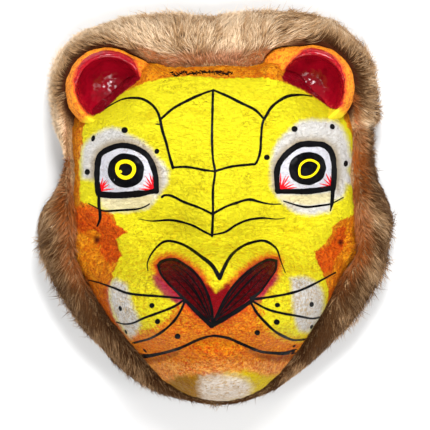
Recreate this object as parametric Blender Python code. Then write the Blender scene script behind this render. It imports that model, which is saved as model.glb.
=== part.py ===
"""A hand-painted big-cat face mask of papier-mache with a fur ruff, lying on its rim, face up.

Metres. +Z is the way the face looks, +Y the top of the head, +X the right side of the mask as it is seen.
The origin is on the surface that the mask lies on, under the middle of its box.
"""

import math
from collections import namedtuple

import bmesh
import bpy
from mathutils import Matrix, Vector

MM = 0.001
FULL_TURN = 360
COLLECTION = "tiger_mask"
CUTTERS = "cutters"


def table(name, columns, rows):
    """Rows with named columns."""
    row = namedtuple(name, columns)
    return tuple(row(*values) for values in rows)


# Papier-mache shell
WALL = 2.6 * MM
SEAT_GAP = 0.6 * MM
CUTTER_DEPTH = 10.0 * MM
MERGE = 0.01 * MM
SHELL_SEGMENTS = 52
SHELL_RINGS = 23
SHELL_CENTRE = Vector((-2.0, -12.0)) * MM
SHELL_CROWN = 82.0 * MM
SHELL_SQUARENESS = 3.0
RING_CROWDING = 1.25
RIM_FADE = (0.78, 1.0)
RELIEF_FULL_UP = 0.7
RIM_LEVEL = 0.6 * MM

# Outline of the rim: the angle round the centre and the distance from it, in millimetres
RIM = table("Rim", "angle radius", (
    (0, 126.5),
    (20, 130),
    (35, 150),
    (48, 169),
    (60, 166),
    (75, 149),
    (90, 144),
    (105, 148),
    (120, 163),
    (132, 169),
    (145, 152),
    (160, 131),
    (180, 123),
    (190, 124.5),
    (205, 121),
    (225, 121),
    (240, 129),
    (255, 143),
    (270, 152),
    (285, 149),
    (300, 135),
    (320, 122),
    (340, 121.5),
    (350, 128),
))

# Relief of the face: a rounded swelling or hollow each, its middle, half widths, turn, height and how
# flat its top is (1 for a soft hill, 2 for a plateau)
RELIEF = table("Swelling", "name x y half_x half_y turn height flatness", (
    ("forehead", 0, 62, 82, 62, 0, 19, 1.6),
    ("brow_left", -70, 70, 36, 13, 6, 9, 1),
    ("brow_right", 74, 71, 36, 13, -6, 9, 1),
    ("bridge", 0, -4, 24, 58, 0, 19, 1),
    ("socket_left", -72, 36, 37, 33, 0, -5, 2),
    ("eye_left", -74, 33, 24, 21, 0, 13, 1.4),
    ("socket_right", 76, 37, 37, 33, 0, -5, 2),
    ("eye_right", 78, 34, 24, 21, 0, 13, 1.4),
    ("ear_seat_left", -108, 118, 30, 30, 0, -34, 1.4),
    ("ear_seat_right", 102, 119, 31, 31, 0, -34, 1.4),
    ("ear_root_left", -57, 127, 11, 12, 0, 13, 1.4),
    ("ear_root_right", 49, 129, 12, 15, 0, 15, 1.4),
    ("cheek_left", -100, -26, 19, 17, 15, -18, 1),
    ("cheek_right", 105, -27, 19, 17, -15, -18, 1),
    ("under_eye_left", -58, -8, 30, 14, -20, -9, 1),
    ("under_eye_right", 60, -8, 30, 14, 20, -9, 1),
    ("muzzle", 0, -76, 93, 45, 0, 41, 3),
    ("pad_left", -46, -86, 34, 24, 14, 9, 1),
    ("pad_right", 47, -86, 34, 24, -14, 9, 1),
    ("nose", 1, -61, 48, 28, 0, 14, 2),
    ("nostril_left", -24, -63, 8, 25, 38, -6, 1),
    ("nostril_right", 27, -62, 8, 25, -38, -6, 1),
    ("mouth_middle", 0, -107, 44, 5, 0, -6, 1),
    ("mouth_left", -52, -115, 20, 5, -12, -6, 1),
    ("mouth_right", 54, -114, 20, 5, 12, -6, 1),
    ("chin", 0, -138, 48, 22, 0, 26, 1.6),
))

# Ears: turned cups, from the middle of the back out over the rolled rim to the bottom of the hollow
EAR_SEGMENTS = 22
EAR_PROFILE = table("Turned", "radius height", (
    (0.0, 0.0),
    (15.0, 0.6),
    (27.0, 3.2),
    (34.0, 8.0),
    (36.0, 13.0),
    (34.2, 21.5),
    (31.2, 28.0),
    (28.4, 28.8),
    (26.6, 24.0),
    (22.5, 14.5),
    (16.5, 7.8),
    (9.0, 4.6),
    (0.0, 3.8),
))
EAR_OUTER_POINTS = 5
EAR_PLACES = table("Place", "name x y z lean_out lean_up", (
    ("ear_left", -94.5, 107.0, 35.0, 9.0, 7.0),
    ("ear_right", 85.0, 109.0, 35.0, -9.0, 7.0),
))
EAR_CLEAR = 43.0 * MM
POCKET_ROOM = 0.42
POCKET_RISE = 40.0

# Fur: for each strip, the angle round the shell, how far the locks reach out from the rim, and the heights
# of the inner lip and of the ridge, and the share of the reach that the backing fills
FUR_COLUMNS = "angle reach lip ridge backing"
FUR_CROWN = table("Crown", FUR_COLUMNS, (
    (36, 22, 38, 46, 0.70),
    (48, 28, 34, 54, 0.86),
    (60, 37, 34, 60, 0.84),
    (75, 40, 48, 62, 0.72),
    (90, 36, 50, 62, 0.72),
    (105, 39, 48, 62, 0.72),
    (120, 36, 34, 60, 0.84),
    (132, 28, 34, 54, 0.86),
    (145, 15, 38, 46, 0.74),
    (153, 7, 38, 42, 0.68),
))
FUR_LEFT = table("Left", FUR_COLUMNS, (
    (154, 6, 38, 38, 0.68),
    (165, 15, 38, 40, 0.68),
    (180, 30, 33, 44, 0.68),
    (192, 26, 26, 44, 0.68),
    (204, 25, 28, 44, 0.68),
    (220, 25, 32, 41, 0.68),
    (240, 22, 26, 33, 0.68),
    (255, 12, 19, 22, 0.68),
    (269.6, 6, 13, 14, 0.68),
))
FUR_RIGHT = table("Right", FUR_COLUMNS, (
    (35, 17, 38, 42, 0.68),
    (20, 21, 40, 44, 0.68),
    (5, 30, 34, 46, 0.68),
    (-8, 27, 27, 46, 0.68),
    (-20, 29, 28, 46, 0.68),
    (-32, 27, 32, 43, 0.68),
    (-50, 20, 28, 35, 0.68),
    (-62, 15, 22, 27, 0.68),
    (-75, 8, 16, 19, 0.68),
    (-89.8, 6, 13, 14, 0.68),
))
FUR_STRIPS = table("Strip", "name stations parts comb_side", (
    ("fur_crown", FUR_CROWN, 28, 0.0),
    ("fur_side_left", FUR_LEFT, 24, 1.0),
    ("fur_side_right", FUR_RIGHT, 26, -1.0),
))

# Section of a strip's backing: how far out as a share of its own reach, and how high as a share of the ridge
FUR_SECTION = table("Section", "out up", (
    (0.30, 0.93),
    (0.60, 0.98),
    (0.86, 0.80),
    (1.00, 0.44),
    (0.94, 0.00),
))
FUR_ROOT = 16.0 * MM

# Locks: pointed, flattened cones on the backing, from a foot to a tip in shares of reach and ridge
LOCK_SIDES = 5
LOCK_ROWS = table("Row", "name foot_out foot_up tip_out tip_up radius", (
    ("hem", 0.54, 0.30, 1.00, 0.12, 12.5),
    ("shoulder", 0.50, 0.60, 1.02, 0.50, 13.0),
    ("crest", 0.20, 0.84, 0.86, 1.00, 12.0),
))
LOCK_SPACING = 19.2 * MM
LOCK_COMB = 24.0 * MM
LOCK_COMB_LESS = 0.6
LOCK_FLATNESS = 0.7
CROWN_MIDDLE = 90.0
CROWN_PARTING = 40.0
CROWN_COMB = 0.35
LOCK_FULL_REACH = 20.0 * MM

PAINT = {
    "paper": ((0.90, 0.72, 0.05), 0.62),
    "ear": ((0.36, 0.02, 0.03), 0.28),
    "fur": ((0.50, 0.36, 0.22), 0.95),
}


def clear_scene():
    for existing in list(bpy.data.objects):
        bpy.data.objects.remove(existing, do_unlink=True)


def collection_named(name):
    made = bpy.data.collections.new(name)
    bpy.context.scene.collection.children.link(made)
    return made


def material_named(name):
    colour, roughness = PAINT[name]
    made = bpy.data.materials.new(name)
    made.use_nodes = True
    shader = made.node_tree.nodes["Principled BSDF"]
    shader.inputs["Base Color"].default_value = (*colour, 1.0)
    shader.inputs["Roughness"].default_value = roughness
    shader.inputs["Metallic"].default_value = 0.0
    return made


def smooth_between(rows, column, at, around=None):
    """A column of a table read at an angle, along a smooth curve through its rows."""
    places = [row.angle for row in rows]
    values = [getattr(row, column) for row in rows]
    if around:
        at %= around
        places = [places[-1] - around] + places + [places[0] + around, places[1] + around]
        values = [values[-1]] + values + [values[0], values[1]]
    elif places[0] > places[-1]:
        places.reverse()
        values.reverse()
    at = min(max(at, places[0]), places[-1])
    index = max(i for i in range(len(places) - 1) if places[i] <= at)
    span = places[index + 1] - places[index]
    share = (at - places[index]) / span
    slopes = []
    for i in (index, index + 1):
        before, after = max(i - 1, 0), min(i + 1, len(places) - 1)
        slopes.append((values[after] - values[before]) / (places[after] - places[before]) * span)
    low, high = values[index], values[index + 1]
    return (
        (2 * share**3 - 3 * share**2 + 1) * low
        + (share**3 - 2 * share**2 + share) * slopes[0]
        + (3 * share**2 - 2 * share**3) * high
        + (share**3 - share**2) * slopes[1]
    )


def rim_radius(angle):
    return smooth_between(RIM, "radius", math.degrees(angle), FULL_TURN) * MM


def fade(value, start, end):
    share = min(max((value - start) / (end - start), 0.0), 1.0)
    return share * share * (3 - 2 * share)


def relief_at(x, y):
    """Height that the swellings and hollows add at a place on the face, in metres."""
    total = 0.0
    for swelling in RELIEF:
        offset = Vector((x / MM - swelling.x, y / MM - swelling.y))
        offset.rotate(Matrix.Rotation(math.radians(-swelling.turn), 2))
        far = (offset.x / swelling.half_x) ** 2 + (offset.y / swelling.half_y) ** 2
        total += swelling.height * math.exp(-(far**swelling.flatness))
    return total * MM


def shell_point(angle, lean):
    """A point of the outer surface: lean is 0 at the middle of the face and a quarter turn at the rim."""
    power = SHELL_SQUARENESS
    size = (abs(math.sin(lean)) ** power + abs(math.cos(lean)) ** power) ** (-1 / power)
    out = size * math.sin(lean)
    flat = SHELL_CENTRE + Vector((math.cos(angle), math.sin(angle))) * out * rim_radius(angle)
    up = max(size * math.cos(lean), 0.0)
    held = 1.0 - fade(out, *RIM_FADE) * (1.0 - fade(up, 0.0, RELIEF_FULL_UP))
    return Vector((flat.x, flat.y, up * SHELL_CROWN + relief_at(flat.x, flat.y) * held))


def face_dome():
    """The outer surface, from the upper half of a ball whose points are moved to the shell's own places."""
    dome = bmesh.new()
    bmesh.ops.create_uvsphere(dome, u_segments=SHELL_SEGMENTS, v_segments=2 * SHELL_RINGS, radius=1.0)
    below = [vert for vert in dome.verts if vert.co.z < -MM]
    bmesh.ops.delete(dome, geom=below, context="VERTS")
    for vert in dome.verts:
        lean = math.acos(min(max(vert.co.z, 0.0), 1.0))
        quarter = math.pi / 2
        lean = quarter * (lean / quarter) ** RING_CROWDING
        vert.co = shell_point(math.atan2(vert.co.y, vert.co.x), lean)
    bmesh.ops.triangulate(dome, faces=dome.faces)
    bmesh.ops.recalc_face_normals(dome, faces=dome.faces)
    if max(dome.faces, key=lambda face: face.calc_center_median().z).normal.z < 0:
        bmesh.ops.reverse_faces(dome, faces=dome.faces)
    dome.normal_update()
    return dome


def add_object(name, mesh, collection, material=None):
    made = bpy.data.objects.new(name, mesh)
    collection.objects.link(made)
    if material:
        mesh.materials.append(material)
    return made


def mesh_from(builder, name, smooth_angle=40.0):
    mesh = bpy.data.meshes.new(name)
    builder.to_mesh(mesh)
    builder.free()
    mesh.shade_smooth()
    mesh.set_sharp_from_angle(angle=math.radians(smooth_angle))
    return mesh


def add_shell(collection, material):
    dome = face_dome()
    bmesh.ops.solidify(dome, geom=dome.faces[:], thickness=WALL)
    for vert in dome.verts:
        if vert.co.z < RIM_LEVEL:
            vert.co.z = 0.0
    bmesh.ops.recalc_face_normals(dome, faces=dome.faces)
    return add_object("mask_shell", mesh_from(dome, "mask_shell"), collection, material)


def hide_cutter(cutter):
    cutter.hide_render = True
    cutter.display_type = "WIRE"
    return cutter


def add_seat_cutter(collection):
    """The shell and its hollow as one block, a gap larger, for cutting what is seated on it."""
    dome = face_dome()
    moved = {vert: vert.co + vert.normal * SEAT_GAP for vert in dome.verts}
    for vert, place in moved.items():
        vert.co = place
    border = [edge for edge in dome.edges if edge.is_boundary]
    skirt = bmesh.ops.extrude_edge_only(dome, edges=border)["geom"]
    for item in skirt:
        if isinstance(item, bmesh.types.BMVert):
            item.co.z = -CUTTER_DEPTH
    bmesh.ops.holes_fill(dome, edges=[edge for edge in dome.edges if edge.is_boundary])
    bmesh.ops.triangulate(dome, faces=[face for face in dome.faces if len(face.verts) > 4])
    bmesh.ops.recalc_face_normals(dome, faces=dome.faces)
    return hide_cutter(add_object("seat_cutter", mesh_from(dome, "seat_cutter"), collection))


def turned(name, profile):
    """A profile turned about its own Z, as a closed mesh."""
    builder = bmesh.new()
    verts = [builder.verts.new((point[0] * MM, 0.0, point[1] * MM)) for point in profile]
    edges = [builder.edges.new(pair) for pair in zip(verts, verts[1:])]
    bmesh.ops.spin(
        builder,
        geom=verts + edges,
        cent=(0, 0, 0),
        axis=(0, 0, 1),
        angle=2 * math.pi,
        steps=EAR_SEGMENTS,
        use_merge=True,
    )
    bmesh.ops.remove_doubles(builder, verts=builder.verts, dist=MERGE)
    bmesh.ops.recalc_face_normals(builder, faces=builder.faces)
    return mesh_from(builder, name)


def cut(target, cutter):
    """Takes a cutter away from an object."""
    modifier = target.modifiers.new("cut", "BOOLEAN")
    modifier.operation = "DIFFERENCE"
    modifier.solver = "EXACT"
    modifier.object = cutter


def pocket_profile():
    """The outside of an ear with a little room round it, and open above its rim."""
    room = POCKET_ROOM
    outer = [(point.radius + room, point.height - room) for point in EAR_PROFILE[1:]][:EAR_OUTER_POINTS]
    widest = max(point.radius for point in EAR_PROFILE) + room
    top = max(point.height for point in EAR_PROFILE) + POCKET_RISE
    return [(0.0, -room)] + outer + [(widest, top), (0.0, top)]


def add_ears(collection, cutters, material, seat):
    """Both ears, cut to sit on the shell, and the pockets that they need in the fur."""
    pockets = []
    for ear in EAR_PLACES:
        place = Matrix.Translation(Vector((ear.x, ear.y, ear.z)) * MM)
        place @= Matrix.Rotation(math.radians(ear.lean_out), 4, "Y")
        place @= Matrix.Rotation(math.radians(ear.lean_up), 4, "X")
        cup = add_object(ear.name, turned(ear.name, EAR_PROFILE), collection, material)
        cup.matrix_world = place
        cut(cup, seat)
        pocket_name = ear.name + "_pocket"
        pocket = add_object(pocket_name, turned(pocket_name, pocket_profile()), cutters)
        pocket.matrix_world = place
        pockets.append(hide_cutter(pocket))
    return pockets


def strip_station(stations, angle):
    """A strip's section at an angle in degrees: direction, rim point, sizes in metres and backing share."""
    columns = ("reach", "lip", "ridge", "backing")
    reach, lip, ridge, backing = (smooth_between(stations, column, angle) for column in columns)
    turn = math.radians(angle)
    direction = Vector((math.cos(turn), math.sin(turn), 0.0))
    start = Vector((SHELL_CENTRE.x, SHELL_CENTRE.y, 0.0)) + direction * rim_radius(turn)
    return direction, start, reach * MM, lip * MM, ridge * MM, backing


def strip_backing(stations, parts):
    """A loft of the strip's section round the shell, closed at both ends."""
    builder = bmesh.new()
    first, last = stations[0].angle, stations[-1].angle
    rings = []
    for number in range(parts + 1):
        angle = first + (last - first) * number / parts
        direction, start, reach, lip, ridge, backing = strip_station(stations, angle)
        points = [start - direction * FUR_ROOT, start - direction * FUR_ROOT + Vector((0, 0, lip))]
        out_to = direction * reach * backing
        points += [start + out_to * out + Vector((0, 0, ridge * up)) for out, up in FUR_SECTION]
        rings.append([builder.verts.new(point) for point in points])
    loops = []
    for ring in rings:
        loops.append([builder.edges.new((ring[i], ring[(i + 1) % len(ring)])) for i in range(len(ring))])
    for before, after in zip(loops, loops[1:]):
        bmesh.ops.bridge_loops(builder, edges=before + after)
    for ring in (rings[0], rings[-1]):
        builder.faces.new(ring)
    bmesh.ops.triangulate(builder, faces=builder.faces)
    bmesh.ops.recalc_face_normals(builder, faces=builder.faces)
    return builder


def add_lock(builder, foot, tip, radius):
    """A pointed, flattened lock from inside the backing to its tip."""
    along = tip - foot
    made = bmesh.ops.create_cone(
        builder,
        cap_ends=True,
        cap_tris=True,
        segments=LOCK_SIDES,
        radius1=radius,
        radius2=0.0,
        depth=along.length,
    )["verts"]
    bmesh.ops.scale(builder, vec=(1.0, LOCK_FLATNESS, 1.0), verts=made)
    place = Matrix.Translation(foot.lerp(tip, 0.5)) @ along.to_track_quat("Z", "Y").to_matrix().to_4x4()
    bmesh.ops.transform(builder, matrix=place, verts=made)
    bmesh.ops.remove_doubles(builder, verts=made, dist=MERGE)


def in_an_ear(place):
    """Whether a place is inside or above the room that an ear takes."""
    for ear in EAR_PLACES:
        beside = (place.xy - Vector((ear.x, ear.y)) * MM).length
        if beside < EAR_CLEAR and place.z > ear.z * MM:
            return True
    return False


def strip_locks(stations, comb_side):
    """The locks of a strip, row by row, clear of its two ends."""
    builder = bmesh.new()
    first, last = stations[0].angle, stations[-1].angle
    middle = math.radians((first + last) / 2)
    count = round(math.radians(abs(last - first)) * rim_radius(middle) / LOCK_SPACING)
    for number_of_row, row in enumerate(LOCK_ROWS):
        for number in range(1, count):
            angle = first + (last - first) * (number + 0.5 * (number_of_row % 2)) / count
            direction, start, reach, _, ridge, _ = strip_station(stations, angle)
            size = min(1.0, reach / LOCK_FULL_REACH)
            comb = comb_side or min(max((angle - CROWN_MIDDLE) / CROWN_PARTING, -CROWN_COMB), CROWN_COMB)
            sideways = Vector((-direction.y, direction.x, 0.0)) * comb
            foot = start + direction * reach * row.foot_out + Vector((0, 0, ridge * row.foot_up))
            tip = start + direction * reach * row.tip_out + Vector((0, 0, ridge * row.tip_up))
            tip += sideways * LOCK_COMB * size * (1.0 if number % 2 else LOCK_COMB_LESS)
            if not in_an_ear(foot):
                add_lock(builder, foot, tip, row.radius * MM * size)
    bmesh.ops.recalc_face_normals(builder, faces=builder.faces)
    return builder


def add_floor_cutter(collection):
    floor = bmesh.new()
    bmesh.ops.create_cube(floor, size=1.0, matrix=Matrix.Translation((0, 0, -0.5)))
    return hide_cutter(add_object("floor_cutter", mesh_from(floor, "floor_cutter"), collection))


def add_fur(collection, cutters, material, seat, pockets):
    """The fur strips: a backing with its locks joined to it, cut to the shell, the ears and the floor."""
    floor = add_floor_cutter(cutters)
    for strip in FUR_STRIPS:
        backing = mesh_from(strip_backing(strip.stations, strip.parts), strip.name)
        fur = add_object(strip.name, backing, collection, material)
        locks_name = strip.name + "_locks"
        locks_mesh = mesh_from(strip_locks(strip.stations, strip.comb_side), locks_name)
        join = fur.modifiers.new("locks", "BOOLEAN")
        join.operation = "UNION"
        join.solver = "EXACT"
        join.use_self = True
        join.object = hide_cutter(add_object(locks_name, locks_mesh, cutters))
        cut(fur, seat)
        cut(fur, floor)
        if strip.stations is FUR_CROWN:
            for pocket in pockets:
                cut(fur, pocket)


def main():
    clear_scene()
    parts = collection_named(COLLECTION)
    cutters = collection_named(CUTTERS)
    add_shell(parts, material_named("paper"))
    seat = add_seat_cutter(cutters)
    pockets = add_ears(parts, cutters, material_named("ear"), seat)
    add_fur(parts, cutters, material_named("fur"), seat, pockets)


main()
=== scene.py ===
"""The looks of a papier-mache tiger mask with a fur ruff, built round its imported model.

Metres in the scene. Paint is placed on the face by looking straight down from the camera's spot, in picture
units: x to the right and y down, as the maker would lay a drawing over the mask.
"""

import math
from collections import namedtuple

import bmesh
import bpy
import numpy as np
from bpy.props import FloatProperty, FloatVectorProperty, IntProperty, PointerProperty
from mathutils import Matrix, Vector, noise
from mathutils.bvhtree import BVHTree


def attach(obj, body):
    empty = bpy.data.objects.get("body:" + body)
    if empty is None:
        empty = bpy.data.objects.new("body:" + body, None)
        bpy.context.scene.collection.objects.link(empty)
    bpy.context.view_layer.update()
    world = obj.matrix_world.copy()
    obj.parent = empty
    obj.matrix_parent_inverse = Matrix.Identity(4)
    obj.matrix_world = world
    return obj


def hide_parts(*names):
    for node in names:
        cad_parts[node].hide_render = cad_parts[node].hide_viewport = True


bl_info = {
    "name": "Tiger mask",
    "version": (1, 0, 0),
    "blender": (4, 5, 0),
    "location": "3D View > Sidebar > Tiger mask",
    "description": "Paint, fur and studio for a papier-mache tiger mask",
    "category": "Object",
}

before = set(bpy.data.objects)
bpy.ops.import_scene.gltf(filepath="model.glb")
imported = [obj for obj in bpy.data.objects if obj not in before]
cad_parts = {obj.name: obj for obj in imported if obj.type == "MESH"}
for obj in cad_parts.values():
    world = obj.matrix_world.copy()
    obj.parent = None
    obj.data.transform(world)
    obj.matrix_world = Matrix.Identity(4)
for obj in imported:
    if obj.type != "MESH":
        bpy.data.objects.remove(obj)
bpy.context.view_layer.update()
BODY = "root"
MM = 0.001
FULL_TURN = 360
SHARP_EDGE = 60.0
MERGE = 0.01 * MM

# The camera's spot above the mask in millimetres, and what one picture unit spans per millimetre below it
CAMERA_X, CAMERA_Y, CAMERA_HEIGHT = -0.5, -2.0, 1500.0
PICTURE_SIZE = 430
PICTURE_MIDDLE = PICTURE_SIZE / 2
UNIT_SPAN = 0.855 / 1450
SENSOR = 36.0


def table(name, columns, rows):
    """Rows with named columns."""
    row = namedtuple(name, columns)
    return tuple(row(*values) for values in rows)


# The shell: the same surface as the solid's
WALL = 2.6 * MM
SHELL_CENTRE = (-2.0, -12.0)
SHELL_CROWN = 82.0
SHELL_SQUARENESS = 3.0
RING_CROWDING = 1.25
RIM_FADE = (0.78, 1.0)
RELIEF_FULL_UP = 0.7

RIM = table("Rim", "angle radius", (
    (0, 126.5), (20, 130), (35, 150), (48, 169), (60, 166), (75, 149), (90, 144), (105, 148), (120, 163),
    (132, 169), (145, 152), (160, 131), (180, 123), (190, 124.5), (205, 121), (225, 121), (240, 129),
    (255, 143), (270, 152), (285, 149), (300, 135), (320, 122), (340, 121.5), (350, 128),
))

RELIEF = table("Swelling", "name x y half_x half_y turn height flatness", (
    ("forehead", 0, 62, 82, 62, 0, 19, 1.6),
    ("brow_left", -70, 70, 36, 13, 6, 9, 1),
    ("brow_right", 74, 71, 36, 13, -6, 9, 1),
    ("bridge", 0, -4, 24, 58, 0, 19, 1),
    ("socket_left", -72, 36, 37, 33, 0, -5, 2),
    ("eye_left", -74, 33, 24, 21, 0, 13, 1.4),
    ("socket_right", 76, 37, 37, 33, 0, -5, 2),
    ("eye_right", 78, 34, 24, 21, 0, 13, 1.4),
    ("ear_seat_left", -108, 118, 30, 30, 0, -34, 1.4),
    ("ear_seat_right", 102, 119, 31, 31, 0, -34, 1.4),
    ("ear_root_left", -57, 127, 11, 12, 0, 13, 1.4),
    ("ear_root_right", 49, 129, 12, 15, 0, 15, 1.4),
    ("cheek_left", -100, -26, 19, 17, 15, -18, 1),
    ("cheek_right", 105, -27, 19, 17, -15, -18, 1),
    ("under_eye_left", -58, -8, 30, 14, -20, -9, 1),
    ("under_eye_right", 60, -8, 30, 14, 20, -9, 1),
    ("muzzle", 0, -76, 93, 45, 0, 41, 3),
    ("pad_left", -46, -86, 34, 24, 14, 9, 1),
    ("pad_right", 47, -86, 34, 24, -14, 9, 1),
    ("nose", 1, -61, 48, 28, 0, 14, 2),
    ("nostril_left", -24, -63, 8, 25, 38, -6, 1),
    ("nostril_right", 27, -62, 8, 25, -38, -6, 1),
    ("mouth_middle", 0, -107, 44, 5, 0, -6, 1),
    ("mouth_left", -52, -115, 20, 5, -12, -6, 1),
    ("mouth_right", 54, -114, 20, 5, 12, -6, 1),
    ("chin", 0, -138, 48, 22, 0, 26, 1.6),
))

# Unevenness of the pulp: size in millimetres, shift of its noise, share of the height, and if it is pinched
CRUMPLES = table("Crumple", "size shift share pinched", (
    (19.0, (0.0, 0.0, 0.0), 0.9, False),
    (9.0, (31.0, 7.0, 3.0), 0.5, True),
    (4.6, (3.0, 11.0, 5.0), 0.75, False),
    (2.6, (9.0, 1.0, 17.0), 0.45, False),
))
SMOOTH_RIM = 6.0 * MM
ORANGE_ROUGHER = 0.5
ROUGHER_WITHIN = 6.0
INNER_COARSER = 4

# The ears: turned cups
EAR_PROFILE = (
    (0.0, 0.0), (15.0, 0.6), (27.0, 3.2), (34.0, 8.0), (36.0, 13.0), (34.2, 21.5), (31.2, 28.0),
    (28.4, 28.8), (26.6, 24.0), (22.5, 14.5), (16.5, 7.8), (9.0, 4.6), (0.0, 3.8),
)
EAR_OUTER_POINTS = 5
EAR_ROOM = 0.6
EAR_WIDE = 36.0
EAR_STEP = 1.4
EAR_LUMPS = ((11.0, 0.7), (3.6, 0.35))
EAR_SHIFT = 40.0
EAR_WALL = 3.0
SEAT_NET = (156, 48)
SEAT_SINK = 1.2 * MM
SEAT_DEPTH = 0.02

# The thick foot of each ear on the side of the crown: how far it flares, towards which angle, and how wide
EAR_FLARES = {"ear_left": (6.0, 25.0, 38.0), "ear_right": (12.0, 145.0, 45.0)}
FLARE_HEIGHTS = ((0.0, 0.2), (3.0, 0.5), (8.0, 0.9), (13.0, 1.0), (21.5, 0.66), (26.5, 0.12), (28.0, 0.0))

# Short fuzzy hair between the ears and the band, and the places that hair stays off, in picture units
FUZZ = (
    ((138, 50), (150, 50), (168, 58), (176, 66), (160, 70), (150, 70), (146, 60)),
    ((232, 64), (245, 57), (262, 50), (268, 52), (266, 62), (266, 74), (250, 72)),
)
BARE = (
    ((120, 48), (130, 50), (139, 52.5), (146, 59), (150.5, 67), (152, 77), (141, 81), (130, 70)),
    ((266, 59), (269, 53), (279, 46), (290, 42), (303, 40.5), (300, 60), (283, 80), (266, 76)),
    ((66, 96), (74, 100), (80, 118), (78, 150), (76, 196), (74, 196), (71.5, 176), (70.5, 150), (67, 120)),
    ((344, 100), (350, 100), (352, 116), (352.5, 150), (353, 196), (350, 190), (346, 150)),
)
EAR_RED = (142, 6, 26)
RED_RIM_FROM = 23.0
NOT_RED = -20.0
POCKET_TOP = 70.0
POCKET_STEPS = 64
POCKET_SIDE = 0.8
EAR_PLACES = table("Place", "name x y z lean_out lean_up", (
    ("ear_left", -94.5, 107.0, 35.0, 9.0, 7.0),
    ("ear_right", 85.0, 109.0, 35.0, -9.0, 7.0),
))

# The fur strips: angle round the shell, reach of the hair past the rim, heights of the inner lip and ridge
FUR_COLUMNS = "angle reach lip ridge"
FUR_CROWN = table("Crown", FUR_COLUMNS, (
    (36, 22, 38, 46), (48, 28, 34, 54), (60, 37, 34, 60), (75, 40, 48, 62), (90, 36, 50, 62),
    (105, 39, 48, 62), (120, 36, 34, 60), (132, 28, 34, 54), (145, 15, 38, 46), (153, 7, 38, 42),
))
FUR_LEFT = table("Left", FUR_COLUMNS, (
    (154, 6, 38, 38), (165, 15, 38, 40), (180, 30, 33, 44), (192, 26, 26, 44), (204, 25, 28, 44),
    (220, 25, 32, 41), (240, 22, 26, 33), (255, 12, 19, 22), (269.6, 6, 13, 14),
))
FUR_RIGHT = table("Right", FUR_COLUMNS, (
    (35, 17, 38, 42), (20, 21, 40, 44), (5, 30, 34, 46), (-8, 27, 27, 46), (-20, 29, 28, 46),
    (-32, 27, 32, 43), (-50, 20, 28, 35), (-62, 15, 22, 27), (-75, 8, 16, 19), (-89.8, 6, 13, 14),
))
FUR_SECTION = ((0.0, 0.88), (0.30, 0.96), (0.60, 0.98), (0.86, 0.80), (1.00, 0.44), (0.94, 0.00))

# Areas of colour, in picture units, clockwise from the top left
YELLOW = (
    (94, 116), (104, 105.6), (119, 94), (135, 87), (143, 83), (155, 80.4), (166, 78), (183.5, 76.3),
    (201, 76.3), (219, 78.6), (234, 78.2), (258.5, 77.5), (276.6, 80), (289, 84.2), (297, 87.2), (314, 97),
    (326, 104), (338, 110.5), (343, 115), (346.7, 125.5), (351.8, 133.7), (353.9, 148), (354.4, 161),
    (356, 177.6), (357, 187), (356.4, 202), (353, 215), (342.7, 219.4), (333.5, 225.5), (330.4, 235.7),
    (325, 244), (314, 252), (318, 264), (322, 272), (327.7, 286), (328.3, 298), (326.5, 305), (323, 316),
    (318, 325), (311, 335), (306.5, 341), (290, 347), (260, 347), (215, 341), (170, 347), (140, 350),
    (132, 341.8), (126, 334.7), (117.8, 323), (113, 314.7), (110.7, 305), (108.4, 293.4), (110.7, 281.6),
    (113, 274.5), (116.6, 264), (122, 255), (119, 248.6), (116.6, 239), (121.4, 235.6), (127.6, 231.6),
    (117, 224.5), (112, 212), (102, 210), (95.8, 206), (80.5, 202), (79.5, 184.7), (79.5, 161), (82.5, 144),
    (82.5, 128), (86, 121),
)
WHITE_PATCHES = (
    ((83.6, 146), (88.7, 139.8), (95.8, 133.7), (104, 129.6), (112, 127.5), (121, 129.6), (128.5, 134.7),
     (141.7, 140.8), (151, 148), (157, 157), (163, 163), (168, 171.4), (167, 183.7), (162, 191.8),
     (155, 200), (149, 208), (126.4, 211.7), (112, 211.2), (103, 208), (100, 198), (98, 188), (94, 180),
     (82.5, 178.6), (81.7, 171.4), (81.7, 161), (82.5, 151)),
    ((270.2, 165.3), (273.3, 151), (277.3, 142.9), (283.5, 134.7), (291.6, 128.6), (299.8, 121.4),
     (312, 119.4), (327.3, 120.4), (337.6, 122.4), (343.7, 130.6), (347.8, 140.8), (350.8, 157),
     (353.9, 160.2), (347.8, 170.4), (350.8, 175.5), (355.9, 184.7), (346.7, 183.7), (344.7, 191.8),
     (342.7, 197), (332.4, 202), (330.4, 211), (312, 215.3), (296.7, 213.3), (287.6, 207), (277.3, 197),
     (271.2, 187.8)),
    ((115.5, 279.3), (126, 284), (129.6, 295.8), (133, 307.6), (137.9, 315.9), (140.2, 325.3),
     (135.5, 334.7), (130.8, 338.3), (123.7, 330), (117.8, 321.8), (113, 312.3), (109.6, 300.5),
     (109, 288.7), (112, 281.6)),
    ((291.1, 278), (305.3, 277), (317, 282.8), (323, 293.4), (323.6, 305.2), (321.8, 315.9), (315.9, 325.3),
     (308.8, 332.4), (299.4, 331.2), (295.9, 323), (293.5, 312.3), (292.3, 295.8)),
)
CHIN_WHITE = (
    (201, 377), (212, 375.5), (236, 376), (247, 380), (252, 387), (249, 396), (240, 401), (215, 404),
    (203, 401), (199, 390),
)
CHIN_SOFTNESS = 0.6
LIP_SHADES = (
    ((134, 352), (148, 358), (166, 355), (182, 349.5), (176, 356), (160, 362), (146, 363), (138, 360)),
    ((244, 347), (260, 353.5), (276, 355), (296, 353), (292, 360), (276, 362), (262, 360)),
)
CHIN_YELLOW = (
    (168, 381), (178, 376), (195, 374), (212, 374), (234, 372), (252, 371), (266, 376), (283, 375),
    (292, 371), (284, 392), (262, 402), (240, 408), (215, 410), (190, 406), (172, 394),
)
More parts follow.
